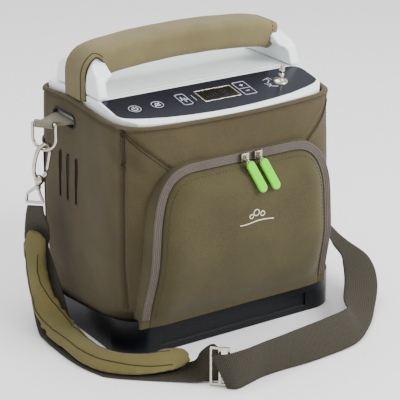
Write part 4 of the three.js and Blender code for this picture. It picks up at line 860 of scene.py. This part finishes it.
# A side wall lies between these two distances from the middle.
WALL_INNER, WALL_OUTER = 110, 142
TAB_MIDDLE = (27, 223)
SLIT_MIDDLES = [(y, 161) for y in (2.5, 20, 36)]
side_outlines = [rounded_slot(TAB_MIDDLE, 23, 7)]
side_outlines += [rounded_slot(middle, 2.3, 25, 6) for middle in SLIT_MIDDLES]
cutters = []
for side in (-1, 1):
    for outline in side_outlines:
        rows = [[(side * x, y, z) for y, z in outline] for x in (WALL_INNER, WALL_OUTER)]
        cutters.append(cutter_through(rows))
sector = [np.radians(np.linspace(97, 173, 12)), np.radians(np.linspace(173, 97, 12))]
VENT_MIDDLE = (-104, 66)
vent_ring = [(VENT_MIDDLE[0] + r * math.cos(a), VENT_MIDDLE[1] + r * math.sin(a))
             for r, angles in zip((44, 8), sector) for a in angles]
cutters.append(cutter_through([[(x, y, z) for x, y in vent_ring] for z in (82, 188)]))
for low, high in (((58, 60, 60), (82, 110, 80)), ((-96.5, 40, -5), (96.5, 120, 30.1))):
    outline = [(low[0], low[1]), (high[0], low[1]), (high[0], high[1]), (low[0], high[1])]
    corners = [[(x, y, z) for x, y in outline] for z in (low[2], high[2])]
    cutters.append(cutter_through(corners))

sleeve_points, sleeve_faces = skin(np.array(sleeve_rows + sleeve_rows[:1]) * MM, caps=False)
sleeve = new_piece("sleeve", sleeve_points, sleeve_faces, finishes["case_fabric"])
welded(sleeve)
cut_away(sleeve, cutters)
sleeve.data.set_sharp_from_angle(angle=math.radians(50))
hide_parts("carry_sleeve")
print("sleeve", len(sleeve.data.polygons), "faces")

# %% [markdown]
# ### Thread, bindings and painted crease shade on the sleeve
# Each seam has a row of stitches at either side. They are threads laid on the surface: the nearest point of the
# surface is found for each, and the thread stands out of it by part of its thickness. A darker line down the
# middle of each seam and round the hem is painted shade in those folds.

# %% Sleeve threads
def at_way(way, height, out=4.0):
    """A point in metres just outside the sleeve, from its distance round and its height in mm."""
    x = np.interp(way % plan_whole, np.r_[plan_way, plan_whole], np.r_[UPPER_PLAN[:, 0], UPPER_PLAN[0, 0]])
    y = np.interp(way % plan_whole, np.r_[plan_way, plan_whole], np.r_[UPPER_PLAN[:, 1], UPPER_PLAN[0, 1]])
    return np.array([x, y, height]) * MM + np.array([x, y, 0]) / math.hypot(x, y) * out * MM


sleeve_tree = surface_of(sleeve)
# The crease lines below are painted shade: a darker line laid along the middle of each seam and round the hem.
thread_parts, crease_shade_parts = [], []
hem_heights = HEM - 0.2 + rim_height(UPPER_PLAN)[::2] - SLEEVE_RIM
hem_line = [at_way(way, height) for way, height in zip(plan_way[::2], hem_heights)]
hem_crease_shade = smooth_line(laid_on(sleeve_tree, hem_line, -0.0001), 500, closed=True)
crease_shade_parts.append(tube(hem_crease_shade, 0.0004, 6, closed=True))
for (a_way, a_height), (b_way, b_height) in SEAM_LINES:
    run = unit(np.array([b_way - a_way, b_height - a_height]))
    for beside in (-2.6, 0, 2.6):
        shares = np.linspace(0.02, 0.99, 90)
        ways = a_way + (b_way - a_way) * shares - run[1] * beside
        levels = a_height + (b_height - a_height) * shares + run[0] * beside
        line = [at_way(way, level) for way, level in zip(ways, levels)]
        if beside:
            thread_parts.append(stitches(laid_on(sleeve_tree, line, 0.0001), radius=0.0003))
        else:
            crease_shade_parts.append(tube(smooth_line(laid_on(sleeve_tree, line, 0.0001), 120), 0.0005, sides=6))
crease_shade = new_piece("seam_crease_shade", *joined(crease_shade_parts), finishes["seam_thread"])
sleeve_thread = new_piece("sleeve_thread", *joined(thread_parts), finishes["case_fabric"])

# The dark tape round each slit stands for its binding and is also painted shade, darkening the slit as the shade
# inside it would.
binding_and_slit_shade_parts = []
for side in (-1, 1):
    loop = [(side * 0.1287, y * MM, z * MM) for y, z in rounded_slot(TAB_MIDDLE, 22.8, 6.8, 12)]
    binding_and_slit_shade_parts.append(tube(smooth_line(loop, 90, closed=True), 0.0012, sides=8, closed=True))
    for middle in SLIT_MIDDLES:
        loop = [(side * 0.1304, y * MM, z * MM) for y, z in rounded_slot(middle, 2.2, 24.9)]
        edge = laid_on(sleeve_tree, smooth_line(loop, 110, closed=True), -0.0002)
        binding_and_slit_shade_parts.append(tube(edge, 0.0006, sides=6, closed=True))
slot_binding_and_slit_shade = new_piece("slot_binding_and_slit_shade", *joined(binding_and_slit_shade_parts), finishes["binding_tape"])

mesh_parts = []
for side in (-1, 1):
    for z in np.arange(139, 184, 2.4):
        rung = [(side * 0.1296, y * MM, (z + rise) * MM) for y, rise in ((18.4, 0), (20, 0.7), (21.6, 1.4))]
        mesh_parts.append(tube(rung, 0.00035, sides=5))
slit_mesh = new_piece("slit_mesh", *joined(mesh_parts), finishes["tab_webbing"])
print("threads", len(sleeve_thread.data.polygons), "faces")

# %% [markdown]
# ## Front pocket
# The pocket is a bag of the same fabric: a flat ledge that carries the zip, then a domed front that runs
# straight down to the boot. Rows that follow the arch inwards give both, and the last rows close on its foot.

# %% Pocket
POCKET_FOOT = 31
POCKET_TOP = 203
POCKET_BACK = -84


def arch_line(count):
    """The pocket's arch as (x, z) in mm, from its left foot to its right foot."""
    spread = np.linspace(0, 1, 60, endpoint=False)
    left = np.vstack([
        bezier([(-116, POCKET_FOOT), (-109, 137.6)], spread),
        bezier([(-109, 137.6), (-106, 185.8), (-88, POCKET_TOP), (-58, POCKET_TOP)], spread),
        bezier([(-58, POCKET_TOP), (0, POCKET_TOP)], np.linspace(0, 1, 30)),
    ])
    whole = np.vstack([left, (left * (-1, 1))[-2::-1]])
    steps = np.r_[0, np.cumsum(np.linalg.norm(np.diff(whole, axis=0), axis=1))]
    wanted = np.linspace(0, steps[-1], count)
    return np.stack([np.interp(wanted, steps, whole[:, k]) for k in range(2)], axis=1)


ARCH = arch_line(261)
arch_run = unit(np.gradient(ARCH, axis=0))
arch_inward = np.stack([arch_run[:, 1], -arch_run[:, 0]], axis=1)


def ledge(z):
    """How far the zip's ledge stands in front of the middle, in mm, at a height."""
    return 98 + 14 * smooth_step(z, POCKET_FOOT, 109.35) - 3 * smooth_step(z, 150.66, POCKET_TOP)


def inside_arch(margin):
    """The arch drawn in by a margin in mm, and never below the pocket's foot."""
    ring = ARCH + arch_inward * margin
    ring[:, 1] = np.maximum(ring[:, 1], POCKET_FOOT)
    return ring


def pocket_row(ring, forward):
    """A row of the pocket in mm; forward is how far it stands before the ledge, less near the foot."""
    foot = 0.25 + 0.75 * smooth_step(ring[:, 1], POCKET_FOOT, 62)
    slack = [0.7 * noise.noise(Vector((x / 38, 3.7, z / 44))) for x, z in ring]
    y = -ledge(ring[:, 1]) - forward * foot - np.array(slack) * smooth_step(forward, 0, 6)
    return np.column_stack([ring[:, 0], y, ring[:, 1]])


POCKET_EDGE = ((0, -4.5), (0.3, -2), (1.2, -0.5), (2.6, 0), (4, 0), (6, 0), (8, 0), (10, 0), (10.6, -0.9))
DOME_MARGIN = 36
DOME_FORWARD = 12
pocket_rows = [np.column_stack([ARCH[:, 0], np.full(len(ARCH), float(POCKET_BACK)), ARCH[:, 1]])]
pocket_rows += [pocket_row(inside_arch(margin), forward) for margin, forward in POCKET_EDGE]
for margin in np.r_[np.linspace(11.2, 16, 8), np.linspace(18, DOME_MARGIN, 10)]:
    t = (margin - 10.8) / 25.2
    pocket_rows.append(pocket_row(inside_arch(margin), 1.2 + 10.8 * (1 - (1 - t) ** 2.6)))
last_ring = inside_arch(DOME_MARGIN)
for share in np.linspace(0.96, 0.0, 26):
    ring = (last_ring - (0, POCKET_FOOT)) * share + (0, POCKET_FOOT)
    pocket_rows.append(pocket_row(ring, DOME_FORWARD))
pocket_points, pocket_faces = skin(np.array(pocket_rows) * MM, closed=False, caps=False)
wide = len(ARCH)
left_feet = [r * wide for r in range(len(pocket_rows))]
feet = left_feet + [foot + wide - 1 for foot in reversed(left_feet)]
start = len(pocket_points)
pocket_points += [(pocket_points[i][0], POCKET_BACK * MM, POCKET_FOOT * MM) for i in feet]
pocket_faces += [(feet[i], feet[i + 1], start + i + 1, start + i) for i in range(len(feet) - 1)]
pocket = new_piece("pocket", pocket_points, pocket_faces, finishes["pocket_fabric"])
welded(pocket)
pocket.data.set_sharp_from_angle(angle=math.radians(60))
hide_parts("front_pocket")
print("pocket", len(pocket.data.polygons), "faces")

# %% [markdown]
# ### Zip
# The tape is a ribbed strip round the arch with the coil under it. Two metal sliders ride on it, and each
# has a wire link that carries a moulded pull.

# %% Zip tape
high_enough = ARCH[:, 1] > 40
tape_rows = []
ribs = np.linspace(0, 1, 33)
margins = 0.9 + 8.8 * ribs
heights = 0.7 + 0.75 * (0.5 - 0.5 * np.cos(2 * math.pi * 4 * ribs)) * (ribs > 0.01) * (ribs < 0.99)
for margin, height in [*zip(margins, heights), (9.7, -0.6), (0.9, -0.6)]:
    row = inside_arch(margin)[high_enough]
    tape_rows.append(np.column_stack([row[:, 0], -ledge(row[:, 1]) - height, row[:, 1]]))
tape_points, tape_faces = skin(np.array(tape_rows).transpose(1, 0, 2) * MM)
zip_tape = new_piece("zip_tape_ribbed", tape_points, tape_faces, finishes["zip_tape"])
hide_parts("zipper_tape")
pocket_tree = surface_of(pocket)
seam_row = inside_arch(13.6)[high_enough]
seam_row = np.column_stack([seam_row[:, 0], -ledge(seam_row[:, 1]) - 7, seam_row[:, 1]]) * MM
pocket_stitches = stitches(laid_on(pocket_tree, seam_row, 0.0002))
pocket_thread = new_piece("pocket_thread", *pocket_stitches, finishes["pocket_fabric"])

# %% Sliders and pulls
for side in ("left", "right"):
    rounded_copy("zipper_slider_" + side, finishes["zip_metal"], 0.0006)
    rounded_copy("zipper_pull_" + side, finishes["pull_rubber"], 0.0014, segments=4)
    joint = next(j for j in record["behaviour"]["joints"] if j["name"] == "pull_swing_" + side)
    hinge = Vector(joint["pos_m"])
    link = [hinge + Vector((0.0022 * math.sin(a), 0.0006 * math.cos(a), 0.0026 * math.cos(a) - 0.0016))
            for a in np.linspace(0, 2 * math.pi, 20, endpoint=False)]
    link_shape = tube(link, 0.0006, sides=8, closed=True)
    link_piece = new_piece("pull_link_" + side, *link_shape, finishes["zip_metal"], "pull_" + side)
print("zip dressed")

# %% [markdown]
# ## Handle
# The white handle is one hollow moulding with broad legs and generous radii. A voxel remesh with some
# smoothing turns the sharp frame piece into that, better than a bevel would at edges that meet at odd angles.

# %% Handle
def softened_copy(node, material, voxel, rounds):
    """A copy of a frame piece remeshed to even squares and smoothed, which stands for that piece."""
    mesh = nodes[node].data.copy()
    mesh.transform(nodes[node].matrix_world)
    piece = bpy.data.objects.new(node + "_soft", mesh)
    bpy.context.scene.collection.objects.link(piece)
    remesh = piece.modifiers.new("even", "REMESH")
    remesh.mode = "VOXEL"
    remesh.voxel_size = voxel
    smooth = piece.modifiers.new("smooth", "SMOOTH")
    smooth.iterations = rounds
    smooth.factor = 0.5
    final = applied(piece)
    final.materials.clear()
    final.materials.append(material)
    for polygon in final.polygons:
        polygon.material_index = 0
        polygon.use_smooth = True
    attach(piece, body_of_node[node])
    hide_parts(node)
    return piece


handle = softened_copy("carry_handle", finishes["white_shell"], 0.0015, 7)
print("handle", len(handle.data.polygons), "faces")

# %% [markdown]
# ### Handle wrap
# The wrap is one strip of fabric that comes up outside the left leg and is rolled round the grip as a tube. Its
# section is a rounded rectangle, cut off at a length that grows from the flat strip to the closed tube.

# %% Handle wrap
WRAP_OUTER = 126.6
wrap_path = np.vstack([
    bezier([(-WRAP_OUTER, 248.6), (-WRAP_OUTER, 271)], np.linspace(0, 1, 14, endpoint=False)),
    bezier([(-WRAP_OUTER, 271), (-WRAP_OUTER, 293), (-110.6, 299), (-90.6, 302)],
           np.linspace(0, 1, 34, endpoint=False)),
    bezier([(-90.6, 302), (0, 312), (90.6, 302)], np.linspace(0, 1, 90, endpoint=False)),
    bezier([(90.6, 302), (104, 300), (112.6, 296)], np.linspace(0, 1, 12)),
])
wrap_run = unit(np.gradient(wrap_path, axis=0))
wrap_up = np.stack([-wrap_run[:, 1], wrap_run[:, 0]], axis=1)


def wrap_section(half_wide, tall, radius, lengths):
    """Points (depth, height) of a rounded rectangle at lengths along it from the middle of its top."""
    turn = np.linspace(0, math.pi / 2, 10)
    corner = np.stack([half_wide - radius + radius * np.sin(turn), -radius + radius * np.cos(turn)], axis=1)
    foot = np.stack([half_wide - radius + radius * np.cos(turn), radius - tall - radius * np.sin(turn)], axis=1)
    half = np.vstack([[(0, 0)], corner, foot, [(0, -tall)]])
    steps = np.r_[0, np.cumsum(np.linalg.norm(np.diff(half, axis=0), axis=1))]
    span = np.minimum(np.abs(lengths), 1) * steps[-1] * 0.996
    depth = np.interp(span, steps, half[:, 0]) * np.sign(lengths)
    return np.stack([depth, np.interp(span, steps, half[:, 1])], axis=1)


WRAP_COLUMNS = 61
column_shares = np.linspace(-1, 1, WRAP_COLUMNS)
# Half the tube's way round, and half the flat strip's width, in mm.
SECTION_HALF = 66.0
STRIP_HALF = 22.6
wrap_outer_rows, wrap_inner_rows = [], []
for (x, z), up, run in zip(wrap_path, wrap_up, wrap_run):
    closing = float(smooth_step(x, -113, -93)) if z > 280 else 0.0
    reach = (STRIP_HALF + (SECTION_HALF - STRIP_HALF) * closing) / SECTION_HALF
    lengths = column_shares * reach
    outer = wrap_section(21.6, 30, 9, lengths)
    inner = wrap_section(18.3, 24, 6, lengths)
    inner[:, 1] -= 3.4
    for section, rows in ((outer, wrap_outer_rows), (inner, wrap_inner_rows)):
        row = np.column_stack([x + section[:, 1] * up[0], 12 + section[:, 0], z + section[:, 1] * up[1]])
        soft = np.array([0.5 * noise.noise(Vector(point) / 23) for point in row])
        row[:, 0] += up[0] * soft
        row[:, 2] += up[1] * soft
        rows.append(row)
ring_rows = [np.vstack([a, b[::-1]]) for a, b in zip(wrap_outer_rows, wrap_inner_rows)]
wrap_points, wrap_faces = skin(np.array(ring_rows) * MM, caps=False)
around = 2 * WRAP_COLUMNS
for first in (0, (len(ring_rows) - 1) * around):
    for k in range(WRAP_COLUMNS - 1):
        wrap_faces.append((first + k, first + k + 1, first + around - 2 - k, first + around - 1 - k))
wrap = new_piece("handle_wrap_sewn", wrap_points, wrap_faces, finishes["wrap_fabric"])
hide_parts("handle_wrap")

wrap_parts = []
outer_rows = np.array(wrap_outer_rows) * MM
for column in (1, WRAP_COLUMNS - 2):
    wrap_parts.append(tube(outer_rows[:78, column], 0.0007, sides=8))
for column in (9, WRAP_COLUMNS - 10):
    wrap_parts.append(tube(outer_rows[:40, column], 0.00045, sides=6))
wrap_piping = new_piece("wrap_piping", *joined(wrap_parts), finishes["seam_thread"])
wrap_thread = new_piece("wrap_thread", *stitches(outer_rows[-5, 3:-3]), finishes["seam_thread"])
print("wrap", len(wrap.data.polygons), "faces")

# %% [markdown]
# ## Strap fittings
# Rings, snap hooks and swivel eyes are bent wire with cast parts, all nickel plated. Each is a tube along a
# line with rounded corners. The left set is drawn and the right set is its mirror image.

# %% Wire shapes
def filleted(points, radius, closed=False, steps=6):
    """The line with each corner rounded by a short curve."""
    points = [np.asarray(p, dtype=float) for p in points]
    count = len(points)
    out = []
    for i, point in enumerate(points):
        if not closed and i in (0, count - 1):
            out.append(point)
            continue
        before, after = points[i - 1], points[(i + 1) % count]
        a = point + unit(before - point) * min(radius, np.linalg.norm(before - point) * 0.45)
        b = point + unit(after - point) * min(radius, np.linalg.norm(after - point) * 0.45)
        out.extend(bezier([a, point, b], np.linspace(0, 1, steps)))
    return np.array(out)


def turned_shape(profile, origin, axis, sides=28):
    """A turned shape: (radius, height) pairs along an axis from an origin."""
    axis = unit(np.asarray(axis, dtype=float))
    side = unit(np.cross(axis, (0.3, 1.0, 0.1)))
    lift = np.cross(axis, side)
    angles = np.linspace(0, 2 * math.pi, sides, endpoint=False)
    ring = np.outer(np.cos(angles), side) + np.outer(np.sin(angles), lift)
    return skin([np.asarray(origin) + axis * height + ring * max(radius, 1e-3) for radius, height in profile])


def in_metres(shape, sign=1):
    """A shape drawn in mm as one in metres, mirrored to the other side when sign is -1."""
    points, faces = shape
    return [(sign * x * MM, y * MM, z * MM) for x, y, z in points], faces


RING_MIDDLE = np.array([-157.0, 18.0, 224.0])
RING_ALONG = unit(np.array([0.62, -0.78, 0.0]))
HOOK_ORIGIN = np.array([-157.0, 18.0, 197.0])
HOOK_AXES = np.array([(0.9903, -0.0261, -0.1367), (0.0492, 0.9845, 0.1685), (0.1302, -0.1735, 0.9762)])
EYE_MIDDLE = np.array([-165.0, 28.5, 138.0])
EYE_ACROSS = unit(np.array([0.0, -1.0, 0.3]))
EYE_UP = np.array([0.0, 0.2873, 0.9578])


def ring_point(along, height):
    """A point of the D-ring's plane, in mm."""
    return RING_MIDDLE + RING_ALONG * along + np.array([0, 0, height])


def hook_point(angle):
    """A point of the hook's bow, in mm, at an angle round it."""
    soft = [math.copysign(abs(v) ** 0.8, v) for v in (math.cos(angle), math.sin(angle))]
    return HOOK_ORIGIN + HOOK_AXES[0] * 9 * soft[0] + HOOK_AXES[2] * (18.7 * soft[1] - 13.3)


bow = [ring_point(13 * math.cos(a), -14.5 + 13 * math.sin(a)) for a in np.linspace(math.pi, 2 * math.pi, 30)]
ring_loop = np.vstack([filleted([ring_point(0, 0), ring_point(-13, 0), bow[0]], 2.2)[:-1], bow,
                       filleted([bow[-1], ring_point(13, 0), ring_point(0, 0)], 2.2)[1:-1]])
hook_line = [hook_point(a) for a in np.linspace(0.85, 5.56, 64)]
gate_low, gate_high = hook_point(-0.72), hook_point(0.85)
gate_along = unit(gate_high - gate_low)
gate_ends = (gate_low + gate_along * 2.4, gate_high - gate_along * 2.8)
gate_line = [gate_ends[0] + (gate_ends[1] - gate_ends[0]) * t for t in np.linspace(0, 1, 12)]
boss = [(0, -40), (2.6, -40), (3.3, -39.6), (4.6, -37), (5.3, -35.4), (5.3, -34.4), (4.4, -32), (3.9, -30.8),
        (2.6, -30), (0, -30)]
neck = HOOK_ORIGIN - HOOK_AXES[2] * 41.4


def eye_point(across, up):
    """A point of the swivel eye's plane, in mm."""
    return EYE_MIDDLE + EYE_ACROSS * across + EYE_UP * up


eye_corners = [eye_point(-20, 0), eye_point(20, 0), eye_point(15, 9), neck, eye_point(-15, 9)]
eye_loop = filleted(eye_corners, 2.6, closed=True)
collar = [(0, -4.4), (2.2, -4.4), (3.1, -3.8), (3.2, -2), (3.2, 0), (2.8, 0.7), (0, 0.7)]
for side, sign in (("left", 1), ("right", -1)):
    fittings = [
        ("d_ring_", [tube(ring_loop, 1.7, sides=14, closed=True)], "ring_"),
        ("snap_hook_", [tube(hook_line, np.r_[1.5, np.full(62, 2.1), 1.7], sides=14),
                        turned_shape(boss, HOOK_ORIGIN, HOOK_AXES[2])], "hook_"),
        ("snap_gate_", [tube(gate_line, np.r_[1.0, np.full(10, 1.6), 1.0], sides=12)], "gate_"),
        ("swivel_eye_", [tube(eye_loop, 1.6, sides=12, closed=True),
                         turned_shape(collar, neck, HOOK_AXES[2])], None),
    ]
    for prefix, shapes, body in fittings:
        shape = in_metres(joined(shapes), sign)
        piece = new_piece(prefix + side + "_wire", *shape, finishes["nickel"], body + side if body else "case")
        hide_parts(prefix + side)
    tab = rounded_copy("side_tab_" + side, finishes["tab_webbing"], 0.0007)
    weave = tab.data.uv_layers.new(name="weave")
    for loop in tab.data.loops:
        place = tab.data.vertices[loop.vertex_index].co
        weave.data[loop.index].uv = (place.x, place.y)
print("fittings made")

# %% [markdown]
# ## Top cover, control panel and outlet
# The cover is a glossy moulding and the panel a printed film over it, with keys that stand 0.2 mm proud. The
# print on a real panel is ink; here each line is a very thin raised stroke, which stays sharp at any distance.

# %% Top pieces
rounded_copy("top_cover", finishes["white_shell"], 0.0011)
rounded_copy("control_panel", finishes["panel_film"], 0.0004)
rounded_copy("display_frame", finishes["nickel"], 0.0003)
for key in ("power_key", "alarm_key", "mode_key", "plus_key", "minus_key"):
    rounded_copy(key, finishes["key_film"], 0.0002)

PANEL_TILT = math.radians(10.7)
PANEL_MIDDLE = np.array([0.0, -58.0, 249.9])


def on_panel(x, y, height=0.25):
    """A point over the panel's own plane, x across and y up its slope, in mm of the object's frame."""
    c, s = math.cos(PANEL_TILT), math.sin(PANEL_TILT)
    return PANEL_MIDDLE + np.array([x, y * c - height * s, y * s + height * c])


def stroke(points, width=0.32, closed=False, height=0.25):
    """A thin raised line on the panel; width is half its thickness in mm."""
    line = np.array([on_panel(x, y, height) for x, y in points])
    if len(line) == 2:
        line = np.array([line[0] + (line[1] - line[0]) * t for t in np.linspace(0, 1, 4)])
    return in_metres(tube(line, width, sides=8, closed=closed))


def circle(x, y, radius, low=0.0, high=2 * math.pi):
    """Points of a whole circle, or of an arc with both its ends."""
    angles = np.linspace(low, high, 40, endpoint=high - low < 6.28)
    return [(x + radius * math.cos(a), y + radius * math.sin(a)) for a in angles]


def printed(name, shapes, body):
    """White print made of strokes, which rides on a body."""
    piece = new_piece(name, *joined(shapes), finishes["print_white"], body)
    return piece


printed("power_print", [stroke(circle(-96, 0, 6.3), 0.22, True), stroke(circle(-96, -0.4, 3.0, 2.1, 7.3), 0.4),
                        stroke([(-96, 0), (-96, 3.6)], 0.4)], "power_button")
bell = [(-73, -2), (-72.3, -1), (-72.1, 1), (-71.2, 2.4), (-70, 2.9), (-68.8, 2.4), (-67.9, 1), (-67.7, -1),
        (-67, -2)]
printed("alarm_print", [stroke(circle(-70, 0, 6.3), 0.22, True), stroke([*bell, bell[0]], 0.32),
                        stroke([(-74, -3.6), (-66, 3.6)], 0.34)], "alarm_button")
mode_box = filleted([(-44.2, -11.2), (-33.8, -11.2), (-33.8, 11.2), (-44.2, 11.2)], 2.5, closed=True)
pulse = [(-43, -1), (-41.4, -1), (-40.4, 5.5), (-38.6, -6), (-37.4, 2.5), (-36.4, -1), (-34.9, -1)]
printed("mode_print", [stroke(mode_box, 0.24, True), stroke(pulse, 0.5)], "mode_button")
printed("plus_print", [stroke([(32.4, 6.2), (36.6, 6.2)], 0.4), stroke([(34.5, 4.1), (34.5, 8.3)], 0.4)],
        "plus_button")
printed("minus_print", [stroke([(32.4, -6.2), (36.6, -6.2)], 0.4)], "minus_button")
level_box = filleted([(27.4, -13.5), (41.6, -13.5), (41.6, 13.5), (27.4, 13.5)], 1.5, closed=True)
panel_print = [stroke(level_box, 0.24, True, 0.1),
               stroke([(28, 0), (41, 0)], 0.2, False, 0.1),
               stroke([(61, -7), (66, -3), (64, 1), (69, 5), (68, 9)], 0.3, False, 0.1),
               stroke([(60, 1), (65, -7), (71, -9)], 0.26, False, 0.1),
               stroke([(63, 8), (71, 11), (73, 6)], 0.26, False, 0.1),
               stroke([(-27, -6), (-27, 6)], 0.22, False, 0.1)]
printed("panel_print", panel_print, "case")

# %% Display
rounded_copy("display_window", finishes["lcd_glass"], 0.0003)
segment_shapes = []
for i, height in enumerate((4.5, 6.5, 8.5, 8.5)):
    segment_shapes.append(stroke([(-13 + 4 * i, -5.5), (-13 + 4 * i, -5.5 + height)], 1.2, False, -0.55))
DIGIT = (((6, 5), (12, 5)), ((6, 0), (12, 0)), ((6, -5), (12, -5)), ((6, 5), (6, 0)), ((12, 5), (12, 0)),
         ((12, 0), (12, -5)))
for a, b in DIGIT:
    segment_shapes.append(stroke([a, b], 0.75, False, -0.5))
segments = new_piece("display_segments", *joined(segment_shapes), finishes["panel_film"])

# %% Outlet and painted groove shade on the cover
barb = [(0, -5), (7.6, -5), (8, -4.6), (8, 0.5), (7.6, 1), (6.5, 1.8), (4.2, 2.6), (3.5, 3.4), (3.2, 5),
        (3.2, 8), (2.8, 9), (2.2, 9.6), (2.2, 12), (3, 12.3), (3, 12.7), (2.1, 15.3), (2.7, 15.6), (2.7, 15.9),
        (1.7, 18.8), (1.3, 19), (0.9, 18.8), (0.9, 10), (0, 10)]
up = np.array([0, -math.sin(PANEL_TILT), math.cos(PANEL_TILT)])
outlet_shape = in_metres(turned_shape(barb, on_panel(80, 0, 0), up, 36))
outlet = new_piece("outlet_turned", *outlet_shape, finishes["nickel"])
outlet.data.set_sharp_from_angle(angle=math.radians(40))
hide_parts("oxygen_outlet")
# Two thin grey lines behind the panel are painted shade, standing in for the shade in two groove lines of the white
# cover.
groove_shade_parts = []
for y in (-26.0, -17.5):
    groove_shade_parts.append(tube([(x * MM, y * MM, 0.25482) for x in np.linspace(-106, 106, 60)], 0.00035, sides=6))
groove_shade = new_piece("cover_groove_shade", *joined(groove_shade_parts), finishes["machine_shell"])
print("panel dressed")

# %% [markdown]
# ## Boot, battery and the back
# The boot is a glossy black moulding, so light catches its rounded edges. The battery slides in behind it. The
# binding of the vent is a folded tape, and the small pull beside it is soft rubber.

# %% Boot and back
boot = rounded_copy("boot_tray", finishes["boot_plastic"], 0.0016, segments=4)
rounded_copy("battery_pack", finishes["battery_case"], 0.0010)
rounded_copy("battery_latch", finishes["latch_green"], 0.0005)
rounded_copy("power_inlet", finishes["black_parts"], 0.0005)
softened_copy("vent_binding", finishes["binding_tape"], 0.0011, 3)
rounded_copy("vent_grille", finishes["black_parts"], 0.0003)
softened_copy("vent_pull", finishes["pull_rubber"], 0.0007, 3)
for node in ("compressor_block", "product_tank", "valve_manifold", "fan_frame"):
    rounded_copy(node, finishes[slots[node]], 0.0006)
print("boot", len(boot.data.polygons), "faces")

# %% [markdown]
# ## Sewn mark
# The pocket carries a small sewn mark. A generic one stands for it: three rings, like bubbles, over a line.

# %% Mark
mark_parts = []
for x, z, radius in ((0, 138, 2.2), (6, 141, 3.2), (13.5, 138.6, 2.4)):
    loop = [((x + radius * math.cos(a)) * MM, -0.14, (z + radius * math.sin(a)) * MM)
            for a in np.linspace(0, 2 * math.pi, 25)]
    mark_parts.append(loop)
mark_parts.append([(x * MM, -0.14, (131.5 + 0.9 * math.sin(x / 7)) * MM) for x in np.linspace(-14, 27, 50)])
mark_shapes = [tube(laid_on(pocket_tree, line, 0.0003), 0.0005, sides=6) for line in mark_parts]
mark = new_piece("sewn_mark", *joined(mark_shapes), finishes["mark_thread"])

# %% [markdown]
# ## Floor and light
# A pale floor and a bright world give an even light with soft shadows. One large soft lamp in front and to the
# right makes the front lighter than the left side, and a second one keeps the shadows open.

# %% Floor and light
floor_material = moulded_plastic("floor_paper", linear(250, 250, 250), 0.9, cloud=0.0)
FLOOR_HALF = 3
FLOOR_DROP = -0.0006
floor_points = [(x * FLOOR_HALF, y * FLOOR_HALF, FLOOR_DROP) for x, y in ((-1, -1), (1, -1), (1, 1), (-1, 1))]
floor = new_piece("floor", floor_points, [(0, 1, 2, 3)], floor_material)
world = bpy.data.worlds.new("studio")
bpy.context.scene.world = world
world.use_nodes = True
world.node_tree.nodes["Background"].inputs[0].default_value = (1, 1, 1, 1)
world.node_tree.nodes["Background"].inputs[1].default_value = 1.15


def soft_lamp(name, place, size, power):
    """A square area lamp that faces the object's middle."""
    data = bpy.data.lights.new(name, "AREA")
    data.size = size
    data.energy = power
    lamp = bpy.data.objects.new(name, data)
    lamp.location = place
    lamp.rotation_euler = (Vector(place) - Vector((0, 0, 0.13))).to_track_quat("Z", "Y").to_euler()
    bpy.context.scene.collection.objects.link(lamp)


soft_lamp("key", (0.75, -1.2, 1.1), 0.8, 34)
soft_lamp("top", (0.1, 0.35, 1.5), 0.8, 14)
print("floor and lamps placed")
